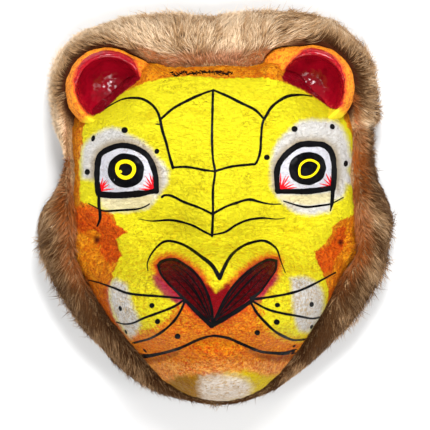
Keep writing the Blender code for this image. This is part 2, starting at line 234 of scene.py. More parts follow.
MUZZLE_ORANGE = (
    (126, 338), (138, 332), (150, 330), (163, 323), (173, 312), (184, 300), (212, 325), (253, 301),
    (260, 312), (262, 322), (270, 331), (284, 338), (300, 342), (314, 337), (304, 352), (284, 360),
    (200, 362), (138, 360),
)
CHEEK_RED = (
    ((76, 206), (96, 206.5), (106, 212), (117, 224), (127.5, 231.5), (120, 238), (117, 246), (122, 255.5),
     (118, 262), (108, 262), (101, 255), (97, 243), (101, 234), (93, 229), (80, 232), (72, 226), (72, 212)),
    ((314, 252), (322, 248), (331, 243), (333, 235), (338, 228), (345, 226), (346, 240), (341, 252),
     (334, 262), (334, 272), (324, 272), (318, 264)),
)
EYE_WHITES = (
    ((99, 193), (97, 178), (98, 162), (101, 154), (110, 148), (122, 145), (134, 147), (146, 154),
     (152, 164), (155, 176), (156, 191)),
    ((278, 191), (276.8, 173.5), (279.4, 163.3), (287.6, 153), (299.8, 145), (313, 144), (323, 145),
     (330.4, 151), (333.5, 161), (334, 175.5), (332.4, 189)),
)
NOSTRILS = (
    ((158, 266), (161, 262), (168, 259.5), (176, 260), (185, 265), (193, 271), (200, 279), (205, 288),
     (209, 298), (212, 310), (212, 322), (200, 315), (193, 308), (185, 300), (177, 292), (168, 283),
     (161, 274)),
    ((276, 261), (269, 260), (261, 263), (253, 268), (244, 275), (236, 283), (229, 292), (223, 302),
     (218, 313), (214, 321), (226, 317), (239, 309), (248, 300), (260, 292), (269, 280), (275, 270)),
)
NOSE_MIDDLE = (
    (202, 281), (210, 287), (216, 292), (223, 287), (232, 281), (228, 296), (219, 310), (213, 322),
    (209, 308),
)
EAR_REDS = (
    ((74.5, 80), (78, 68), (85, 58), (95, 51.5), (107, 48.6), (119, 49.8), (128, 54.5), (134, 61),
     (137, 69), (140.5, 78), (135, 84.5), (127, 89.5), (117, 98), (108, 107), (99, 113.5), (93, 116),
     (86, 111), (80, 103), (76, 92)),
    ((281.5, 77), (286.5, 68), (295, 58), (304, 50.5), (313, 47.5), (323, 49.5), (334, 57.5), (341.5, 68),
     (344.5, 80), (344, 94), (341.5, 105), (336, 110), (329, 107.5), (317, 98.5), (304, 90), (292, 85),
     (283.5, 81)),
)
LIDS = (
    ((100, 197), (120, 198), (156, 193), (151, 206), (138, 210.5), (124, 211.5), (106, 212), (101, 208)),
    ((279, 194), (306, 194), (333, 191), (331, 203.5), (308, 206.5), (290, 203), (280, 199)),
)
NOSE_SMEARS = (
    ((152, 276), (158, 275), (168, 285), (178, 295), (186, 303), (176, 303), (164, 295), (155, 285)),
    ((276, 274), (269, 283), (260, 294), (254, 302), (257, 303), (268, 290), (278, 279)),
)
DIMPLES = ((97, 240, 5.5, 1.9), (340.5, 242.5, 4.5, 1.9))

DIMPLE_SLOPE = 0.9

# Attributes of the painted face that say how far inside its outlines each point is
AREAS = {
    "yellow": (YELLOW,),
    "chin_yellow": (CHIN_YELLOW,),
    "muzzle_orange": (MUZZLE_ORANGE,),
    "cheek_red": CHEEK_RED,
    "eye_white": EYE_WHITES,
    "nostril": NOSTRILS,
    "nose_middle": (NOSE_MIDDLE,),
    "ear_red": EAR_REDS,
    "lip_shade": LIP_SHADES,
    "lid": LIDS,
    "nose_smear": NOSE_SMEARS,
}
CHIN_MIDDLE = 224.0
LOWER_FACE_TOP = 338.0
LOW_SHADE = (205.0, 265.0)
LOW_WALL_SHADE = (268.0, 305.0)

# Brush lines: width, share of it at each end, then the points they pass through
LINES = table("Line", "width start end points", (
    (5.0, 1.0, 1.0, ((98.5, 193.5), (97, 178), (98, 162), (101, 154), (110, 148.5), (121, 145.5),
                     (134, 147.5), (146, 154.5), (152, 164), (155.5, 176), (156.3, 191.5))),
    (5.6, 0.9, 0.8, ((98.5, 194), (108, 195), (117, 195.3), (130, 194.5), (144, 193), (156.5, 190.5))),
    (2.7, 1.0, 0.6, ((99, 190), (99, 205), (100, 212), (100, 219), (97.3, 226))),
    (1.9, 0.4, 0.6, ((88.5, 203.5), (99, 209), (106, 211), (124, 210), (137, 209), (144, 207),
                     (149.5, 204))),
    (5.2, 1.0, 0.9, ((277.6, 191.5), (276.8, 173.5), (279.4, 163.3), (287.6, 153), (299.8, 145), (313, 144),
                     (323.3, 145), (330.4, 151), (333.5, 161.2), (334, 175.5), (332.6, 189.8))),
    (3.2, 1.0, 0.4, ((333, 186), (332, 202), (330.4, 210.7))),
    (4.9, 0.9, 0.9, ((278.5, 191.3), (291.6, 191.3), (305.9, 191.3), (320.2, 189.8), (332, 187.8))),
    (1.9, 0.6, 0.5, ((283.5, 201), (289.6, 203), (299.8, 206), (308, 207), (320.2, 205.6), (330.4, 204),
                     (337.6, 200.5), (343.2, 197.4))),
    (2.3, 0.8, 0.9, ((214, 90), (205, 93), (193, 98), (174, 108), (161, 119))),
    (2.4, 0.4, 1.0, ((105, 109), (111, 105), (122, 99.5), (132, 98), (142, 99), (151, 104), (157, 111),
                     (160, 119), (162, 129), (166, 142), (169, 154), (173, 168))),
    (2.2, 1.0, 0.8, ((172.5, 167.5), (187, 167), (204, 170), (216, 171.5))),
    (2.2, 1.0, 1.0, ((213, 91), (212, 136), (213, 159), (215, 172), (213, 190), (213, 214), (212, 236))),
    (2.3, 0.8, 0.9, ((213, 90), (227, 96), (241, 103), (255, 110), (264, 119))),
    (2.6, 1.0, 0.4, ((264, 119.5), (271, 108), (279, 101), (289, 96), (302, 95), (312, 96.3))),
    (2.2, 1.0, 0.9, ((264, 119), (262, 126), (261, 139), (260, 152), (256, 163), (250, 164.5), (232, 166.5),
                     (214, 171.5))),
    (1.3, 0.5, 0.5, ((82.5, 116.5), (86, 120), (90, 123), (94, 120.5))),
    (1.4, 0.6, 0.6, ((329, 108), (334, 111), (343, 109))),
    (1.3, 0.3, 0.6, ((155, 124), (160.5, 124.5))),
    (2.2, 1.0, 0.9, ((162, 197), (165, 195.2), (172, 196), (184, 202), (199, 207.5), (212.5, 214))),
    (2.2, 0.9, 0.4, ((212.5, 214), (225, 207), (236, 203), (249, 199.5), (260, 202), (270, 204),
                     (281, 204))),
    (2.0, 0.3, 0.9, ((139, 219), (152, 221), (169, 220), (182, 222), (194, 226), (203, 231), (212, 235.5))),
    (2.0, 0.9, 0.3, ((212, 235), (225, 232), (236, 225), (248, 220), (262, 218), (276, 219), (285, 218))),
    (2.4, 0.3, 1.5, ((148, 271), (147.3, 264), (149.7, 257), (154.4, 250), (160.3, 244), (166.2, 241.3),
                     (173.3, 241.5), (182.7, 244.5), (191, 249.2), (201.6, 257), (212.2, 265.7),
                     (219.5, 278))),
    (2.3, 1.5, 0.3, ((219.5, 278.7), (222.7, 271), (228.6, 259.2), (235.7, 251), (245, 245), (254.6, 241.8),
                     (262.8, 240.7), (269.9, 243.3), (277, 249.8), (280.5, 260.4), (285.2, 272.8))),
    (2.1, 0.9, 0.5, ((184, 298.5), (162, 296.5), (141, 295), (127, 293), (114, 288), (100, 283),
                     (88.5, 280))),
    (2.1, 1.0, 0.6, ((184, 300), (173, 307), (155, 314), (144, 318), (133, 323), (124, 324), (116.5, 322))),
    (2.2, 1.0, 0.9, ((185, 301), (180, 312), (173, 322), (163, 331), (151, 338), (141, 341), (133, 343))),
    (2.1, 1.1, 0.6, ((252, 299.5), (270, 297), (287, 294), (301, 290), (316, 283), (329, 276),
                     (335.5, 272.5))),
    (2.1, 1.0, 0.7, ((252, 301), (267, 309), (281, 313), (298, 316), (312, 318.5), (322.5, 316.5))),
    (2.3, 1.0, 0.7, ((250.5, 302), (257, 313), (266, 323), (276, 332), (290, 339), (298, 340), (307, 339))),
    (2.5, 1.5, 0.8, ((138, 355), (147, 356), (163, 353), (180, 348), (194, 341.5), (206, 337),
                     (215, 335.5))),
    (2.5, 0.8, 1.5, ((214, 335.5), (228, 338), (242, 344), (259, 351), (273, 353), (284, 353.3),
                     (296, 351))),
    (2.3, 1.0, 1.0, ((158, 266), (161, 262), (168, 259.5), (176, 260), (185, 265), (193, 271), (200, 279),
                     (205, 288), (209, 298), (212, 310), (212.5, 323))),
    (2.0, 1.0, 1.4, ((158, 265), (161, 274), (168, 283), (177, 292), (185, 300))),
    (2.3, 1.0, 1.0, ((276.5, 261), (269, 259.8), (261, 263), (253, 268), (244, 275), (236, 283), (229, 292),
                     (223, 302), (218, 313), (214, 321))),
    (1.6, 1.2, 2.0, ((276.5, 260.5), (275.5, 270), (269, 280), (260, 292), (251, 299))),
    (3.9, 0.8, 1.1, ((183, 298), (191, 306), (201, 316), (212, 326))),
    (3.9, 1.1, 0.9, ((211, 326), (226, 317.5), (239, 309.5), (253, 300))),
    (1.0, 0.4, 1.0, ((170, 266), (183, 276), (195, 290), (204, 306), (210, 320))),
    (1.1, 0.4, 1.0, ((174, 264), (187, 273), (199, 288), (206, 303), (211, 318))),
    (0.9, 0.4, 1.0, ((168, 272), (180, 284), (192, 297), (202, 309), (209, 320))),
    (1.0, 0.4, 1.0, ((176, 273), (188, 284), (198, 297), (207, 313))),
    (1.0, 0.4, 1.0, ((268, 266), (254, 276), (241, 289), (229, 303), (217, 318))),
    (1.1, 0.4, 1.0, ((264, 264), (249, 274), (236, 288), (226, 302), (217, 316))),
    (0.9, 0.4, 1.0, ((268, 272), (256, 284), (243, 297), (230, 308), (219, 317))),
    (1.0, 0.4, 1.0, ((260, 272), (247, 284), (236, 296), (226, 308))),
))

# Where a place in the picture misses the face, the nearest spot to this height above the floor is taken
MISSED_HEIGHT = 20.0
PAINT_EDGE = 50.0

# How much wider than drawn a stroke comes out, and how its width wavers: length of a waver and its share
BRUSH_SPREAD = 1.13
SLOW_WAVER = (9.0, 0.22)
QUICK_WAVER = (2.2, 0.12)
STROKE_END = 0.4
ROUND_END = 0.42
STROKE_ROWS = 4
CURVE_STEPS = 16

# The row of short dabs on the band over the brow: where it starts and ends, its arch and its number of dabs
DABS_START, DABS_END = (171.0, 74.6), (232.0, 73.2)
DABS_ARCH, DABS_SPREAD, DABS_COUNT = 1.6, 0.9, 64

# Dots and dabs: place, width and height, turn in degrees
DOTS = (
    (93.3, 138.3, 3.6, 6.2, 15), (124.7, 130.1, 6.2, 6.0, 0), (156.8, 151.3, 4.8, 5.4, 20),
    (87.4, 172, 5.2, 5.8, 0), (266.8, 157.4, 5.8, 5.4, 0), (294.4, 128.9, 6.2, 5.8, 0),
    (332.2, 126.7, 4.6, 5.6, -30), (345.7, 163.5, 4.0, 6.2, 10), (152, 305.5, 5.0, 5.0, 0),
    (157.6, 321.4, 5.2, 5.2, 0), (177.6, 336.2, 5.8, 5.4, 0), (120.4, 308.5, 3.0, 5.2, -15),
    (126, 331.8, 1.8, 4.4, -28), (145, 350.7, 1.6, 5.0, -45), (277.3, 305, 5.2, 4.6, 0),
    (276.6, 322, 6.0, 5.6, 0), (257.3, 332.6, 5.4, 5.2, 0), (311.5, 304.4, 4.0, 5.2, 10),
    (311.5, 326.7, 2.2, 4.4, 28), (294, 346, 1.8, 3.4, 60),
)
IRISES = ((126, 170.6, 36.6, 34.2, 0), (307.7, 168.5, 37.2, 33.0, -8))
RINGS = table("Ring", "width points", (
    (3.6, ((117.2, 170), (118.5, 164.5), (123, 161.8), (128.5, 161.9), (133.2, 165), (134.2, 170.5),
           (131.2, 175.6), (125.5, 177.7), (119.8, 175.3))),
    (2.1, ((299.2, 172.5), (300.4, 165.3), (306, 160.8), (312.8, 160.7), (318.4, 165), (316.6, 171),
           (312, 175.4), (305.5, 177.2), (300.8, 176.2))),
))
PUPIL_NOTCH = (120.6, 171.5, 3.4, 2.6, 30)

# Veins: a root in each corner of the eyes, and the tips of its strokes
VEIN_WIDTHS = (1.25, 1.5, 0.3)
VEINS = (
    ((99.6, 190.6), ((103, 177.6), (105.6, 180), (107.6, 180.8), (109.2, 184.2), (113.7, 188.8),
                     (101, 183))),
    ((154.5, 190), ((149.4, 173.6), (152.4, 176.4), (145.6, 176.2), (145.5, 181.5), (143.3, 184.7),
                    (139.2, 188.8), (149, 186))),
    ((280.4, 189.6), ((280.6, 173), (285.5, 176), (289, 175.6), (290, 181.6), (293.5, 184.2),
                      (296.7, 187.2), (284, 180))),
    ((332.2, 186.6), ((331.6, 170.4), (325.8, 173.6), (328.5, 178), (323.8, 179.2), (319.7, 183.6),
                      (318.2, 187.4), (330, 176))),
)


# Shades that break up and edge the paints, and those of the painted shade in the dimples and in the pulp's
# hollows, creases and pits
SHADES = {
    "orange_fibre": (255, 188, 44),
    "orange_speck": (126, 46, 4),
    "orange_patch": (208, 94, 8),
    "wall_shadow": (226, 150, 110),
    "red_deep": (172, 36, 4),
    "red_fibre": (255, 142, 30),
    "chin_deep": (212, 78, 12),
    "chin_light": (252, 160, 60),
    "chin_fibre": (255, 210, 124),
    "chin_left": (164, 116, 18),
    "chin_right": (226, 196, 14),
    "muzzle_deep": (206, 60, 6),
    "muzzle_fibre": (255, 196, 48),
    "white_streak": (206, 192, 172),
    "white_bristle": (176, 162, 146),
    "white_low": (240, 220, 200),
    "lid_cream": (248, 234, 176),
    "eye_shadow": (196, 178, 146),
    "lip_shadow": (104, 34, 8),
    "nose_halo": (228, 84, 22),
    "nose_smear": (170, 22, 76),
    "nose_edge": (176, 14, 36),
    "nose_dark": (62, 3, 8),
    "nose_middle": (142, 8, 20),
    "dimple_shade": (84, 22, 8),
    "grime_and_shade": (204, 170, 104),
    "hollow_shade": (206, 186, 146),
    "wrinkle": (222, 182, 96),
    "bruise": (170, 132, 80),
    "paper_dark": (150, 132, 108),
    "ear_worn": (212, 44, 40),
    "ear_deep": (190, 72, 0),
    "ear_fibre": (255, 180, 40),
    "ear_blush": (206, 34, 30),
    "ear_yellow": (236, 218, 24),
    "black_worn": (46, 42, 40),
    "gloss_worn": (26, 28, 34),
    "ring_worn": (190, 150, 10),
    "vein_worn": (240, 80, 60),
    "hide_shadow": (60, 26, 8),
}

# Patterns in the paints: noise per metre, and the stretch of it that is spread from start to end
PATTERNS = table("Pattern", "name scale detail roughness stretch distortion low high start end", (
    ("mottle", 290.0, 6.0, 0.7, None, 0.8, 0.42, 0.58, 0.0, 1.0),
    ("fibre", 620.0, 6.0, 0.75, None, 0.6, 0.42, 0.62, 0.0, 1.0),
    ("speck", 430.0, 5.0, 0.7, None, 1.0, 0.57, 0.66, 0.0, 1.0),
    ("blotch", 240.0, 6.0, 0.68, None, 0.8, 0.40, 0.60, 0.0, 1.0),
    ("patch", 75.0, 4.0, 0.6, None, 0.8, 0.42, 0.60, 0.0, 1.0),
    ("smear", 48.0, 6.0, 0.62, (1.0, 1.6, 1.0), 0.0, 0.50, 0.78, 0.0, 1.0),
    ("streak", 90.0, 6.0, 0.6, (1.0, 0.7, 1.0), 0.0, 0.50, 0.75, 0.0, 1.0),
    ("bristle", 520.0, 5.0, 0.7, (1.7, 0.35, 1.0), 0.4, 0.46, 0.60, 0.0, 1.0),
    ("wrinkle", 150.0, 7.0, 0.66, (0.8, 1.6, 1.0), 2.0, 0.38, 0.54, 0.7, 0.0),
    ("bruise", 32.0, 3.0, 0.55, None, 0.0, 0.48, 0.68, 0.0, 1.0),
    ("nose", 300.0, 5.0, 0.55, None, 0.0, 0.35, 0.7, 0.0, 1.0),
    ("bare", 90.0, 5.0, 0.55, None, 0.0, 0.35, 0.7, 0.0, 1.0),
    ("satin", 260.0, 3.0, 0.55, None, 0.0, 0.3, 0.7, 0.42, 0.62),
    ("thin", 520.0, 4.0, 0.65, None, 0.0, 0.62, 0.86, 0.0, 1.0),
    ("pool", 60.0, 4.0, 0.6, None, 0.6, 0.25, 0.6, 0.0, 1.0),
    ("worn", 520.0, 5.0, 0.7, None, 0.0, 0.45, 0.62, 0.0, 1.0),
))


def linear(red, green, blue):
    """A display colour, 0 to 255, as the light values that Blender mixes."""
    shares = [value / 255 for value in (red, green, blue)]
    return tuple(share / 12.92 if share <= 0.04045 else ((share + 0.055) / 1.055) ** 2.4 for share in shares)


def shade(name):
    return linear(*SHADES[name])


def colour_property(name, description, colour):
    return FloatVectorProperty(name=name, description=description, subtype="COLOR", size=3, min=0.0, max=1.0,
                               default=linear(*colour))


def length_property(name, description, default, least, most):
    """A setting in metres, from values in millimetres."""
    return FloatProperty(name=name, description=description, default=default * MM, min=least * MM,
                         max=most * MM, unit="LENGTH", precision=5)


def power_property(name, description, default):
    return FloatProperty(name=name, description=description, default=default, min=0.0, max=200.0,
                         unit="POWER")


class TigerMaskFace(bpy.types.PropertyGroup):
    """The papier-mache shell and its colours."""

    segments: IntProperty(name="Segments", description="Points round the rim", default=520, min=64, max=640)
    rings: IntProperty(name="Rings", description="Rings from the middle to the rim", default=148, min=24,
                       max=200)
    crumple: length_property("Crumple", "Height of the pulp's lumps", 0.62, 0.0, 2.0)
    yellow: colour_property("Yellow", "Brow, bridge and muzzle", (243, 231, 32))
    deep_yellow: colour_property("Deep yellow", "Smears in the yellow", (224, 196, 12))
    orange: colour_property("Orange", "Side wall", (248, 150, 10))
    deep_orange: colour_property("Deep orange", "Mottling of the side wall", (186, 70, 4))
    red_orange: colour_property("Red orange", "Cheeks, mouth and chin", (232, 88, 12))
    white: colour_property("White", "Patches round the eyes, muzzle and chin", (231, 228, 224))
    eye_white: colour_property("Eye white", "Inside the eyes", (232, 232, 242))
    nose_red: colour_property("Nose red", "Nostrils", (94, 3, 10))
    paper: colour_property("Bare paper", "Inside of the mask", (188, 168, 138))


class TigerMaskPaint(bpy.types.PropertyGroup):
    """Brush lines, dots and eyes."""

    lift: length_property("Lift", "Height of the paint above the paper", 0.16, 0.0, 1.0)
    depth: length_property("Depth", "Thickness of the paint", 0.5, 0.1, 1.0)
    black: colour_property("Black", "Lines, dots and irises", (5, 5, 7))
    ring_yellow: colour_property("Ring yellow", "Rings round the pupils", (236, 204, 14))
    vein_red: colour_property("Vein red", "Corners of the eyes", (216, 14, 26))


class TigerMaskEars(bpy.types.PropertyGroup):
    """The turned ear cups."""

    steps: IntProperty(name="Steps", description="Points round each cup", default=112, min=24, max=200)
    red: colour_property("Red", "Inside of the cups", EAR_RED)
    dark_red: colour_property("Dark red", "Thin places in the red", (108, 4, 16))
    rim: colour_property("Rim orange", "Rim and outside of the cups", (246, 138, 8))


class TigerMaskFur(bpy.types.PropertyGroup):
    """The fur ruff."""

    density: FloatProperty(name="Density", description="Hairs on each square millimetre of backing",
                           default=1.05, min=0.01, max=4.0)
    length: length_property("Length", "Length of a full hair", 14.5, 2.0, 60.0)
    thickness: length_property("Thickness", "Width of a hair at its root", 0.50, 0.05, 2.0)
    light: colour_property("Light", "Tips of the hair", (242, 216, 182))
    middle: colour_property("Middle", "Most of the hair", (184, 146, 104))
    dark: colour_property("Dark", "Roots and dark patches", (84, 52, 24))
    dye: colour_property("Dye", "Hair stained by the paint beside the face", (180, 92, 28))


class TigerMaskStudio(bpy.types.PropertyGroup):
    """Floor, lights and camera."""

    floor: colour_property("Floor", "Pale floor", (208, 208, 208))
    key: power_property("Key", "Strength of the main light", 25.0)
    fill: power_property("Fill", "Strength of the side lights", 7.0)
    front: power_property("Front", "Strength of the light below the chin", 14.0)
    lamp: power_property("Lamp", "Strength of the small lamp beside the camera", 7.0)
    sky: FloatProperty(name="Sky", description="Strength of the light from all round", default=0.30, min=0.0,
                       max=5.0)


def smooth_between(rows, column, at, around=None):
    """A column of a table read at angles, along a smooth curve through its rows."""
    places = [row.angle for row in rows]
    values = [getattr(row, column) for row in rows]
    if around:
        at = np.mod(at, around)
        places = [places[-1] - around] + places + [places[0] + around, places[1] + around]
        values = [values[-1]] + values + [values[0], values[1]]
    elif places[0] > places[-1]:
        places.reverse()
        values.reverse()
    places, values = np.array(places, float), np.array(values, float)
    at = np.clip(at, places[0], places[-1])
    index = np.clip(np.searchsorted(places, at, side="right") - 1, 0, len(places) - 2)
    span = places[index + 1] - places[index]
    share = (at - places[index]) / span
    slopes = []
    for i in (index, index + 1):
        before, after = np.maximum(i - 1, 0), np.minimum(i + 1, len(places) - 1)
        slopes.append((values[after] - values[before]) / (places[after] - places[before]) * span)
    return (
        (2 * share**3 - 3 * share**2 + 1) * values[index]
        + (share**3 - 2 * share**2 + share) * slopes[0]
        + (3 * share**2 - 2 * share**3) * values[index + 1]
        + (share**3 - share**2) * slopes[1]
    )


def rim_radius(angle):
    return smooth_between(RIM, "radius", np.degrees(angle), FULL_TURN)


def fade(value, start, end):
    share = np.clip((value - start) / (end - start), 0.0, 1.0)
    return share * share * (3 - 2 * share)


def relief_at(x, y):
    """Height in millimetres that the swellings and hollows add at places on the face."""
    total = np.zeros_like(x)
    for swelling in RELIEF:
        turn = math.radians(swelling.turn)
        across, along = x - swelling.x, y - swelling.y
        turned_across = across * math.cos(turn) + along * math.sin(turn)
        turned_along = along * math.cos(turn) - across * math.sin(turn)
        far = (turned_across / swelling.half_x) ** 2 + (turned_along / swelling.half_y) ** 2
        total += swelling.height * np.exp(-(far**swelling.flatness))
    return total


def shell_points(angle, lean):
    """Points of the outer surface in metres. lean is 0 at the middle and a quarter turn at the rim."""
    power = SHELL_SQUARENESS
    size = (np.abs(np.sin(lean)) ** power + np.abs(np.cos(lean)) ** power) ** (-1 / power)
    out = size * np.sin(lean)
    reach = out * rim_radius(angle)
    x = SHELL_CENTRE[0] + np.cos(angle) * reach
    y = SHELL_CENTRE[1] + np.sin(angle) * reach
    up = np.maximum(size * np.cos(lean), 0.0)
    held = 1.0 - fade(out, *RIM_FADE) * (1.0 - fade(up, 0.0, RELIEF_FULL_UP))
    return np.stack((x, y, up * SHELL_CROWN + relief_at(x, y) * held), axis=1) * MM


def face_dome(segments, rings):
    """The outer surface, from the upper half of a ball whose points are moved to the shell's own places."""
    dome = bmesh.new()
    bmesh.ops.create_uvsphere(dome, u_segments=segments, v_segments=2 * rings, radius=1.0)
    below = [vert for vert in dome.verts if vert.co.z < -MM]
    bmesh.ops.delete(dome, geom=below, context="VERTS")
    ball = np.array([vert.co for vert in dome.verts])
    quarter = math.pi / 2
    lean = quarter * (np.arccos(np.clip(ball[:, 2], 0.0, 1.0)) / quarter) ** RING_CROWDING
    for vert, place in zip(dome.verts, shell_points(np.arctan2(ball[:, 1], ball[:, 0]), lean)):
        vert.co = place
    bmesh.ops.recalc_face_normals(dome, faces=dome.faces)
    if max(dome.faces, key=lambda face: face.calc_center_median().z).normal.z < 0:
        bmesh.ops.reverse_faces(dome, faces=dome.faces)
    dome.normal_update()
    return dome


def to_picture(places):
    """Where points in metres stand in the picture."""
    depth = (CAMERA_HEIGHT - places[:, 2] / MM) * UNIT_SPAN
    across = PICTURE_MIDDLE + (places[:, 0] / MM - CAMERA_X) / depth
    down = PICTURE_MIDDLE - (places[:, 1] / MM - CAMERA_Y) / depth
    return np.stack((across, down), axis=1)


def depth_inside(spots, outline):
    """How far inside an outline each spot is, in picture units, and less than 0 outside it."""
    corners = np.array(outline, float)
    nearest = np.full(len(spots), np.inf)
    inside = np.zeros(len(spots), bool)
    for start, end in zip(corners, np.roll(corners, -1, axis=0)):
        along = end - start
        offset = spots - start
        share = np.clip(offset @ along / (along @ along), 0.0, 1.0)
        nearest = np.minimum(nearest, np.linalg.norm(offset - share[:, None] * along, axis=1))
        crosses = (start[1] > spots[:, 1]) != (end[1] > spots[:, 1])
        if along[1]:
            where = start[0] + (spots[:, 1] - start[1]) * along[0] / along[1]
            inside ^= crosses & (spots[:, 0] < where)
    return np.where(inside, nearest, -nearest)


def deepest(spots, outlines):
    return np.max([depth_inside(spots, outline) for outline in outlines], axis=0)


def set_attribute(mesh, name, values):
    made = mesh.attributes.new(name, "FLOAT", "POINT")
    made.data.foreach_set("value", np.ascontiguousarray(values, dtype=np.float32))


def coordinates(vertices, kind="co"):
    """The places, or the normals, of a mesh's vertices."""
    values = np.zeros(len(vertices) * 3)
    vertices.foreach_get(kind, values)
    return values.reshape(-1, 3)


def finish_piece(name, mesh, material, smooth_angle=None):
    """An object for a finished mesh, which rides with the mask."""
    piece = bpy.data.objects.new(name, mesh)
    bpy.context.scene.collection.objects.link(piece)
    mesh.materials.append(material)
    mesh.shade_smooth()
    if smooth_angle:
        mesh.set_sharp_from_angle(angle=math.radians(smooth_angle))
    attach(piece, BODY)
    return piece


def mesh_of(builder, name):
    mesh = bpy.data.meshes.new(name)
    builder.to_mesh(mesh)
    builder.free()
    return mesh


class Finish:
    """A material, and short ways to add nodes to it."""

    def __init__(self, name, sockets):
        self.material = bpy.data.materials.new(name)
        self.material.use_nodes = True
        self.tree = self.material.node_tree
        self.shader = self.tree.nodes["Principled BSDF"]
        for socket, value in sockets.items():
            self.shader.inputs[socket].default_value = value
        self.place = self.tree.nodes.new("ShaderNodeTexCoord").outputs["Object"]
        self.patterns = {}

    def put(self, socket, value):
        if isinstance(value, bpy.types.NodeSocket):
            self.tree.links.new(value, socket)
        elif isinstance(value, (tuple, list)) or hasattr(value, "r"):
            socket.default_value = (*tuple(value)[:3], 1.0) if socket.type == "RGBA" else value
        else:
            socket.default_value = value

    def attribute(self, name):
        node = self.tree.nodes.new("ShaderNodeAttribute")
        node.attribute_name = name
        return node.outputs["Fac"]

    def noise(self, scale, detail=3.0, roughness=0.55, stretch=None, distortion=0.0):
        place = self.place
        if stretch:
            mapping = self.tree.nodes.new("ShaderNodeMapping")
            mapping.inputs["Scale"].default_value = stretch
            self.tree.links.new(place, mapping.inputs["Vector"])
            place = mapping.outputs["Vector"]
        node = self.tree.nodes.new("ShaderNodeTexNoise")
        node.inputs["Scale"].default_value = scale
        node.inputs["Detail"].default_value = detail
        node.inputs["Roughness"].default_value = roughness
        node.inputs["Distortion"].default_value = distortion
        self.tree.links.new(place, node.inputs["Vector"])
        return node.outputs["Fac"]

    def math(self, operation, first, second=0.0):
        node = self.tree.nodes.new("ShaderNodeMath")
        node.operation = operation
        self.put(node.inputs[0], first)
        self.put(node.inputs[1], second)
        return node.outputs[0]

    def ramp(self, value, low, high, start=0.0, end=1.0):
        """A value between low and high turned smoothly into one between start and end."""
        node = self.tree.nodes.new("ShaderNodeMapRange")
        node.interpolation_type = "SMOOTHSTEP"
        for socket, given in zip(node.inputs[:5], (value, low, high, start, end)):
            self.put(socket, given)
        return node.outputs[0]

    def mix(self, share, first, second, blend="MIX"):
        node = self.tree.nodes.new("ShaderNodeMix")
        node.data_type = "RGBA"
        node.blend_type = blend
        self.put(node.inputs[0], share)
        self.put(node.inputs[6], first)
        self.put(node.inputs[7], second)
        return node.outputs[2]

    def times(self, first, second):
        return self.math("MULTIPLY", first, second)

    def plus(self, first, second):
        return self.math("ADD", first, second)

    def near(self, name, low, high, start=0.0, end=1.0):
        """An attribute between low and high turned smoothly into a value between start and end."""
        return self.ramp(self.attribute(name), low, high, start, end)

    def edge(self, name, ragged, soft):
        """A mask from a depth attribute, with a ragged and soft edge in picture units."""
        return self.ramp(self.plus(self.attribute(name), ragged), -soft / 2, soft / 2)

    def pattern(self, name):
        """One of the patterns, which is made once for each material."""
        if name not in self.patterns:
            row = next(row for row in PATTERNS if row.name == name)
            grain = self.noise(row.scale, row.detail, row.roughness, row.stretch, row.distortion)
            self.patterns[name] = self.ramp(grain, row.low, row.high, row.start, row.end)
        return self.patterns[name]

    def flecked(self, paint, *flecks):
        """A paint with shades over it, each given as its pattern, its share and its name."""
        for pattern, share, name in flecks:
            paint = self.mix(self.times(self.pattern(pattern), share), paint, shade(name))
        return paint

    def bump(self, height, distance, strength=1.0, after=None):
        node = self.tree.nodes.new("ShaderNodeBump")
        node.inputs["Strength"].default_value = strength
        node.inputs["Distance"].default_value = distance
        self.tree.links.new(height, node.inputs["Height"])
        if after:
            self.tree.links.new(after, node.inputs["Normal"])
        return node.outputs["Normal"]

    def set(self, socket, value):
        self.put(self.shader.inputs[socket], value)


def ragged_noise(finish, scale, amount, detail=4.0):
    """Noise about zero, in picture units, that shifts a paint edge."""
    centred = finish.math("SUBTRACT", finish.noise(scale, detail), 0.5)
    return finish.times(centred, 2 * amount)


def wall_orange(finish, face):
    """The orange of the side wall, shaded low down."""
    paint = finish.mix(finish.pattern("mottle"), tuple(face.deep_orange), tuple(face.orange))
    paint = finish.flecked(paint, ("fibre", 0.7, "orange_fibre"), ("speck", 0.75, "orange_speck"),
                           ("patch", 0.55, "orange_patch"))
    return finish.mix(finish.attribute("low_wall"), paint, shade("wall_shadow"), "MULTIPLY")


def cheek_orange(finish, face):
    paint = finish.mix(finish.pattern("blotch"), shade("red_deep"), tuple(face.red_orange))
    return finish.flecked(paint, ("fibre", 0.5, "red_fibre"))


def chin_orange(finish):
    paint = finish.mix(finish.pattern("mottle"), shade("chin_deep"), shade("chin_light"))
    return finish.flecked(paint, ("fibre", 0.6, "chin_fibre"))


def muzzle_orange(finish, face):
    paint = finish.mix(finish.pattern("mottle"), tuple(face.red_orange), tuple(face.orange))
    paint = finish.mix(finish.pattern("blotch"), shade("muzzle_deep"), paint)
    return finish.flecked(paint, ("fibre", 0.55, "muzzle_fibre"))


def patch_white(finish, face, lower):
    """White that is streaked, bristly low on the face, cream on the lids and shaded round the eyes."""
    paint = finish.flecked(tuple(face.white), ("streak", 0.5, "white_streak"))
    bristles = finish.times(finish.pattern("bristle"), finish.times(finish.attribute("low"), 0.5))
    paint = finish.mix(bristles, paint, shade("white_bristle"))
    paint = finish.mix(finish.times(lower, 0.6), paint, shade("white_low"))
    paint = finish.mix(finish.near("lid", -1.0, 3.0, 0.0, 0.85), paint, shade("lid_cream"))
    shadow = finish.times(finish.near("eye_white", -12.0, -2.0, 0.0, 0.9),
                          finish.near("lid", -6.0, -1.0, 1.0, 0.0))
    return finish.mix(shadow, paint, shade("eye_shadow"), "MULTIPLY")


